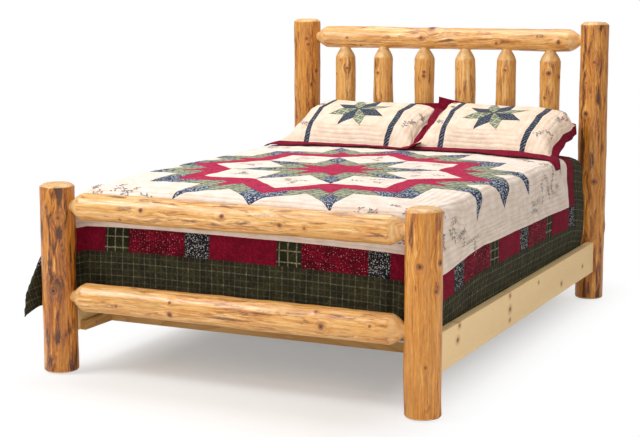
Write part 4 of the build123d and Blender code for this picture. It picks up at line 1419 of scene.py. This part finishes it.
def makeSham(node, sham):
    topGrid, bottomGrid = inflateSham(shamSeeds[node])
    halfA = shamSizes["halfWidth"] + shamSizes["flange"]
    halfB = shamSizes["halfDepth"] + shamSizes["flange"]
    gap = shamSizes["gap"]
    grid = [(a, b) for a in np.arange(-halfA + gap / 2, halfA, gap) for b in np.arange(-halfB + gap / 2, halfB, gap)]
    flat, faces, seamTree = cutPattern(grid, shamLines(), gap)
    faceUp(flat, faces)
    seam = seamDepth(flat, seamTree, gap * 1.3)
    rim = (np.abs(np.abs(flat[:, 0]) - halfA) < 1e-5) | (np.abs(np.abs(flat[:, 1]) - halfB) < 1e-5)
    top = placeSham(sham, topGrid, flat[:, 0], flat[:, 1], np.where(rim, 0.0, 1.0))
    bottom = placeSham(sham, bottomGrid, flat[:, 0], flat[:, 1], np.where(rim, 0.0, -1.0))
    bottom[rim] = top[rim]
    top[:, 2] += (shamRipple(node, flat[:, 0], flat[:, 1]) - shamSizes["seamDip"] * seam) * ~rim
    fabric = shamFabric(*flat[faces].mean(axis=1).T)
    back = np.where(fabric == fabricNumber["burgundyCotton"], fabric, fabricNumber["lining"])
    cover = clothObject(node + "_sham", np.vstack((flat, flat)), np.vstack((faces, faces[:, ::-1] + len(flat))),
                        np.vstack((top, bottom)), np.concatenate((fabric, back)), np.concatenate((seam, seam)), 0.0)
    mesh = bmesh.new()
    mesh.from_mesh(cover.data)
    bmesh.ops.remove_doubles(mesh, verts=mesh.verts[:], dist=0.00001)
    mesh.to_mesh(cover.data)
    mesh.free()
    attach(cover, node)
    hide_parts(node)
    print(node, "is plumped:", len(cover.data.polygons), "faces")
    return topGrid


# Mattress and box spring

bedCore = {
    "mattress": {"halfWidth": 0.757, "halfLength": 1.0115, "roll": 0.0405, "under": 0.009, "bottomRoll": 0.022,
                 "tape": 0.0045, "topShares": (0.04, 0.2, 0.4, 0.55, 0.7, 0.8, 0.88, 0.94, 1.0),
                 "wallShares": (0.12, 0.25, 0.5, 0.75, 0.92)},
    "boxSpring": {"halfWidth": 0.7575, "halfLength": 1.0115, "roll": 0.018, "bottomRoll": 0.012, "tape": 0.004,
                  "corner": 0.03},
    "around": 220,
}


def roundedOutline(halfX, halfY, radius, count):
    # evenly spaced points round a rectangle with round corners, from the middle of its right side
    straightX, straightY = halfX - radius, halfY - radius
    # (whether it turns, length) of each piece of the line
    pieces = [(False, straightY)]
    for size in (2 * straightX, 2 * straightY, 2 * straightX, straightY):
        pieces += [(True, math.pi * radius / 2), (False, size)]
    total = 4 * (straightX + straightY) + 2 * math.pi * radius
    points = []
    for step in range(count):
        left = total * step / count
        x, y = halfX, 0.0
        heading = math.pi / 2
        for turns, length in pieces:
            go = min(left, length)
            if turns:
                turn = go / radius if radius > 1e-9 else 0.0
                centre = (x - radius * math.sin(heading), y + radius * math.cos(heading))
                heading += turn
                x, y = centre[0] + radius * math.sin(heading), centre[1] - radius * math.cos(heading)
            else:
                x, y = x + go * math.cos(heading), y + go * math.sin(heading)
            left -= go
            if left <= 1e-12:
                break
        points.append((x, y))
    return np.array(points)


def ringShell(rings):
    # closed shell from rings of equal count, from the middle of the top to the middle of the bottom
    count = len(rings[0])
    top, bottom = (tuple(np.mean(ring, axis=0)) for ring in (rings[0], rings[-1]))
    vertices = [top, *(tuple(point) for ring in rings for point in ring), bottom]
    last = len(vertices) - 1
    faces = [(0, 1 + i, 1 + (i + 1) % count) for i in range(count)]
    for r in range(len(rings) - 1):
        base = 1 + r * count
        for i in range(count):
            j = (i + 1) % count
            faces.append((base + i, base + count + i, base + count + j, base + j))
    base = 1 + (len(rings) - 1) * count
    faces.extend((last, base + (i + 1) % count, base + i) for i in range(count))
    return vertices, faces


def tubeAlong(points, radius, sides=8):
    # closed tube round a closed line of points
    points = np.array(points)
    count = len(points)
    vertices, faces = [], []
    for i in range(count):
        ahead = points[(i + 1) % count] - points[i - 1]
        ahead = ahead / np.linalg.norm(ahead)
        outward = np.array((ahead[1], -ahead[0], 0.0))
        outward = outward / np.linalg.norm(outward)
        upward = np.cross(ahead, outward)
        for k in range(sides):
            turn = 2 * math.pi * k / sides
            vertices.append(points[i] + radius * (outward * math.cos(turn) + upward * math.sin(turn)))
        for k in range(sides):
            here, there, after = i * sides, (i + 1) % count * sides, (k + 1) % sides
            faces.append((here + k, here + after, there + after, there + k))
    return vertices, faces


def joinMeshes(name, parts):
    # parts are (vertices, faces, material); one object with a slot for each material
    vertices, faces, numbers, materials = [], [], [], []
    for partVertices, partFaces, material in parts:
        if material not in materials:
            materials.append(material)
        base = len(vertices)
        vertices.extend(tuple(v) for v in partVertices)
        faces.extend(tuple(int(i) + base for i in f) for f in partFaces)
        numbers.extend([materials.index(material)] * len(partFaces))
    made = meshObject(name, vertices, faces)
    for material in materials:
        made.data.materials.append(material)
    made.data.polygons.foreach_set("material_index", numbers)
    made.data.polygons.foreach_set("use_smooth", [True] * len(faces))
    return made


def makeTicking(name, ground, stitch, gap):
    # mattress cover: pale cloth quilted in crossed waves
    material, tree, shader = newMaterial(name)
    place = objectPlace(tree)
    weave = useGroup(cottonWeave, {"Place": place, "Thread": 0.0016, "Crinkle Size": 0.02})
    parts = separate(place)
    flatPlace = parts[1] + parts[2]
    waves = []
    for sign in (1.0, -1.0):
        share = calc("FRACT", (flatPlace * sign + parts[0]) / gap + 0.5)
        waves.append(abs(share - 0.5))
    near = calc("MINIMUM", waves[0], waves[1])
    line = remap(near, 0.0, 0.03, 1.0, 0.0)
    puff = remap(near, 0.0, 0.3)
    colour = mixColour(remap(weave["Mottle"], 0.3, 0.7), ground, stitch)
    colour = mixColour(line * 0.5, colour, "b3a78f")
    feed(shader, {"Base Color": colour, "Roughness": 0.85, "Specular IOR Level": 0.3})
    addBump(shader, puff + weave["Crinkle"] * 0.2, 0.6, 0.006)
    return material


def level(ring, z):
    return np.c_[ring, np.full(len(ring), z)]


def underQuilt(ring, depth):
    # a ring as deep below the face of the quilt
    return np.c_[ring, bedTop(ring[:, 0], ring[:, 1]) - depth]


def coreOutline(sizes, inset, radius, share=1.0):
    return roundedOutline((sizes["halfWidth"] - inset) * share, (sizes["halfLength"] - inset) * share, radius,
                          bedCore["around"])


def sewShell(name, rings, cover, tapeLines, tapeCloth, tapeRadius):
    # a shell with a tape along each line
    return joinMeshes(name, [(*ringShell(rings), cover)]
                      + [(*tubeAlong(line, tapeRadius), tapeCloth) for line in tapeLines])


def makeMattress(ticking, tapeCloth):
    sizes = bedCore["mattress"]
    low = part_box("mattress")[0]
    roll, bottomRoll, under = sizes["roll"], sizes["bottomRoll"], sizes["under"]
    innerX, innerY = sizes["halfWidth"] - roll, sizes["halfLength"] - roll
    rings = []
    for share in sizes["topShares"]:
        inset = (1 - share) * innerX
        ring = roundedOutline(innerX - inset, innerY - inset * 1.3, 0.0001, bedCore["around"])
        rings.append(underQuilt(ring, under))
    for angle in np.linspace(0, math.pi / 2, 9)[1:]:
        out, down = roll * math.sin(angle), roll * (1 - math.cos(angle))
        ring = underQuilt(roundedOutline(innerX + out, innerY + out, out + 0.0001, bedCore["around"]), under)
        rings.append(ring - (0.0, 0.0, down))
    edge = rings[-1]
    for share in sizes["wallShares"]:
        z = edge[:, 2] * (1 - share) + (low.z + bottomRoll) * share
        bulge = 0.003 * math.sin(share * math.pi)
        rings.append(np.c_[edge[:, :2] * (1 + bulge * np.sign(np.abs(edge[:, :2]) - 0.3).clip(0)), z])
    for angle in np.linspace(0, math.pi / 2, 6):
        inset = bottomRoll * (1 - math.cos(angle))
        rings.append(level(coreOutline(sizes, inset, roll - inset), low.z + bottomRoll * (1 - math.sin(angle))))
    for share in (0.7, 0.4, 0.05):
        rings.append(level(rings[-1][:, :2] * share, low.z))
    bottomLine = level(coreOutline(sizes, 0.0, roll), low.z + bottomRoll)
    mattress = sewShell("mattress_body", rings, ticking, (edge, bottomLine), tapeCloth, sizes["tape"])
    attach(mattress, "bedding")
    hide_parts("mattress")


def makeBoxSpring(cover, tapeCloth):
    sizes = bedCore["boxSpring"]
    low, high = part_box("box_spring_cover")
    roll, bottomRoll, radius, skin = sizes["roll"], sizes["bottomRoll"], sizes["corner"], 0.0003
    angles = np.linspace(0, math.pi / 2, 6)
    rings = [level(coreOutline(sizes, 0.0, radius * share, share), high.z - skin)
             for share in (0.05, 0.35, 0.65, 0.9)]
    for angle in angles:
        inset = roll * (1 - math.sin(angle))
        rings.append(level(coreOutline(sizes, inset, radius - inset * 0.5),
                           high.z - skin - roll * (1 - math.cos(angle))))
    for share in (0.25, 0.5, 0.75):
        z = (high.z - roll) * (1 - share) + (low.z + bottomRoll) * share
        rings.append(level(coreOutline(sizes, 0.0, radius), z))
    for angle in angles[::-1]:
        inset = bottomRoll * (1 - math.sin(angle))
        z = low.z + skin + bottomRoll * (1 - math.cos(angle))
        rings.append(level(coreOutline(sizes, inset, radius - inset * 0.5), z))
    rings.extend(level(rings[-1][:, :2] * share, low.z + skin) for share in (0.9, 0.5, 0.05))
    tapeLines = [level(coreOutline(sizes, 0.0, radius), z) for z in (high.z - roll, low.z + bottomRoll)]
    spring = sewShell("box_spring_body", rings, cover, tapeLines, tapeCloth, sizes["tape"])
    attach(spring, "foundation")
    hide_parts("box_spring_cover")


# Embroidered sprigs

threadColours = {"leafThread": "56624c", "navyThread": "525e78", "berryThread": "b0405a", "stemThread": "6d705c"}
threadShine = (0.6, 0.56, 0.5, 1.0)
threads = {name: makeGrainy(name, (0.35, 0.65), (code, threadShine), (0.5, 0.0006),
                            {"Roughness": 0.55, "Sheen Weight": 0.2}, share=0.35)
           for name, code in threadColours.items()}


def leafShape(place, angle, length, width):
    along = unit(angle)
    across = np.array((-along[1], along[0]))
    outline = ((0.0, 0.0), (0.3, 0.42), (0.65, 0.36), (1.0, 0.0), (0.65, -0.36), (0.3, -0.42))
    return [place + along * length * a + across * width * b for a, b in outline]


def sprig(place, angle, size, numbers):
    # a short vine: stem, leaves and berries, as (thread, flat outline)
    shapes = []
    bend = numbers.uniform(-1.2, 1.2)
    steps = 7
    line = []
    at, heading = np.array(place, float), angle
    for step in range(steps):
        line.append(at.copy())
        at = at + size / steps * unit(heading)
        heading += bend / steps
    for i in range(len(line) - 1):
        step = line[i + 1] - line[i]
        side = np.array((-step[1], step[0]))
        side = side / np.linalg.norm(side) * 0.0011
        shapes.append(("stemThread", [line[i] - side, line[i + 1] - side, line[i + 1] + side, line[i] + side]))
    for i in range(1, len(line)):
        way = 1 if i % 2 else -1
        turn = angle + bend * i / steps + way * numbers.uniform(0.6, 1.2)
        if numbers.random() < 0.6:
            thread = "navyThread" if numbers.random() < 0.4 else "leafThread"
            leaf = leafShape(line[i], turn, numbers.uniform(0.013, 0.019), numbers.uniform(0.007, 0.010))
            shapes.append((thread, leaf))
        else:
            centre = line[i] + 0.012 * unit(turn)
            radius = numbers.uniform(0.0035, 0.0052)
            turns = np.linspace(0, 2 * math.pi, 9)[:-1]
            shapes.append(("berryThread", [centre + radius * unit(t) for t in turns]))
    return shapes


def sewSprigs(name, shapes, placer, body):
    parts = []
    for thread, outline in shapes:
        outline = np.array(outline)
        points = np.vstack((outline.mean(axis=0), outline))
        count = len(outline)
        faces = [(0, 1 + i, 1 + (i + 1) % count) for i in range(count)]
        parts.append((placer(points[:, 0], points[:, 1]), faces, threads[thread]))
    made = joinMeshes(name, parts)
    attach(made, body)


sprigSizes = {
    "seed": 7, "lift": 0.0012, "shamLift": 0.0016,
    # round each plain square of the star, then in the corners: places, how far they stray, lengths
    "square": 0.406, "squareTurns": (0.3, 2.3, 4.4), "squareVine": 0.075,
    "garland": ((0.40, 0.86), (0.50, 0.80), (0.62, 0.74), (0.72, 0.72), (0.80, 0.62), (0.84, 0.50), (0.87, 0.40),
                (0.70, 0.84), (0.84, 0.70)), "stray": 0.03, "vine": (0.05, 0.09),
    # on the shams: place across, places up, how far they stray each way, lengths
    "shamAcross": 0.300, "shamUp": (-0.12, 0.03, 0.17), "shamStray": (0.02, 0.03), "shamVine": (0.04, 0.06),
}


def quiltPlacer(u, v):
    places, normals = drapeWithNormal(u, v)
    return places + normals * (pucker(u, v) + sprigSizes["lift"])[:, None]


def makeSprigs(shamGrids):
    numbers = random.Random(sprigSizes["seed"])

    def strays(u, v, signU, signV, strayU, strayV, lengths, count):
        # a few sprigs near a place, each drawn in its turn
        found = []
        for piece in range(count):
            start = (signU * (u + numbers.uniform(-strayU, strayU)), signV * (v + numbers.uniform(-strayV, strayV)))
            found += sprig(start, numbers.uniform(0, 2 * math.pi), numbers.uniform(*lengths), numbers)
        return found
    shapes = []
    for k in range(8):
        centre = sprigSizes["square"] * direction(k)
        for turn in sprigSizes["squareTurns"]:
            shapes += sprig(centre + 0.02 * unit(turn), turn + 0.7 * k, sprigSizes["squareVine"], numbers)
    stray = sprigSizes["stray"]
    for signU in (-1, 1):
        for signV in (-1, 1):
            for u, v in sprigSizes["garland"]:
                shapes += strays(u, v, signU, signV, stray, stray, sprigSizes["vine"], 3)
    sewSprigs("quilt_sprigs", shapes, quiltPlacer, "bedding")
    for node, grid in shamGrids.items():
        shapes = []
        for side in (-1, 1):
            for b in sprigSizes["shamUp"]:
                shapes += strays(sprigSizes["shamAcross"], b, side, 1, *sprigSizes["shamStray"],
                                 sprigSizes["shamVine"], 2)

        def shamPlacer(a, b, node=node, grid=grid):
            top = placeSham(shams[node], grid, a, b, np.ones_like(a))
            top[:, 2] += shamRipple(node, a, b) + sprigSizes["shamLift"]
            return top
        sewSprigs(node + "_sprigs", shapes, shamPlacer, node)
    print("sprigs are embroidered")


makeQuilt()
tapeCloth = makeTicking("mattressTape", "c9c2b2", "b8b09e", 0.02)
makeMattress(makeTicking("mattressTicking", "ece5d6", "ddd3bf", 0.11), tapeCloth)
makeBoxSpring(makeTicking("boxSpringCloth", "d9d5cb", "cbc6ba", 0.16), tapeCloth)
print("mattress and box spring are sewn")
shamGrids = {node: makeSham(node, sham) for node, sham in shams.items()}
makeSprigs(shamGrids)
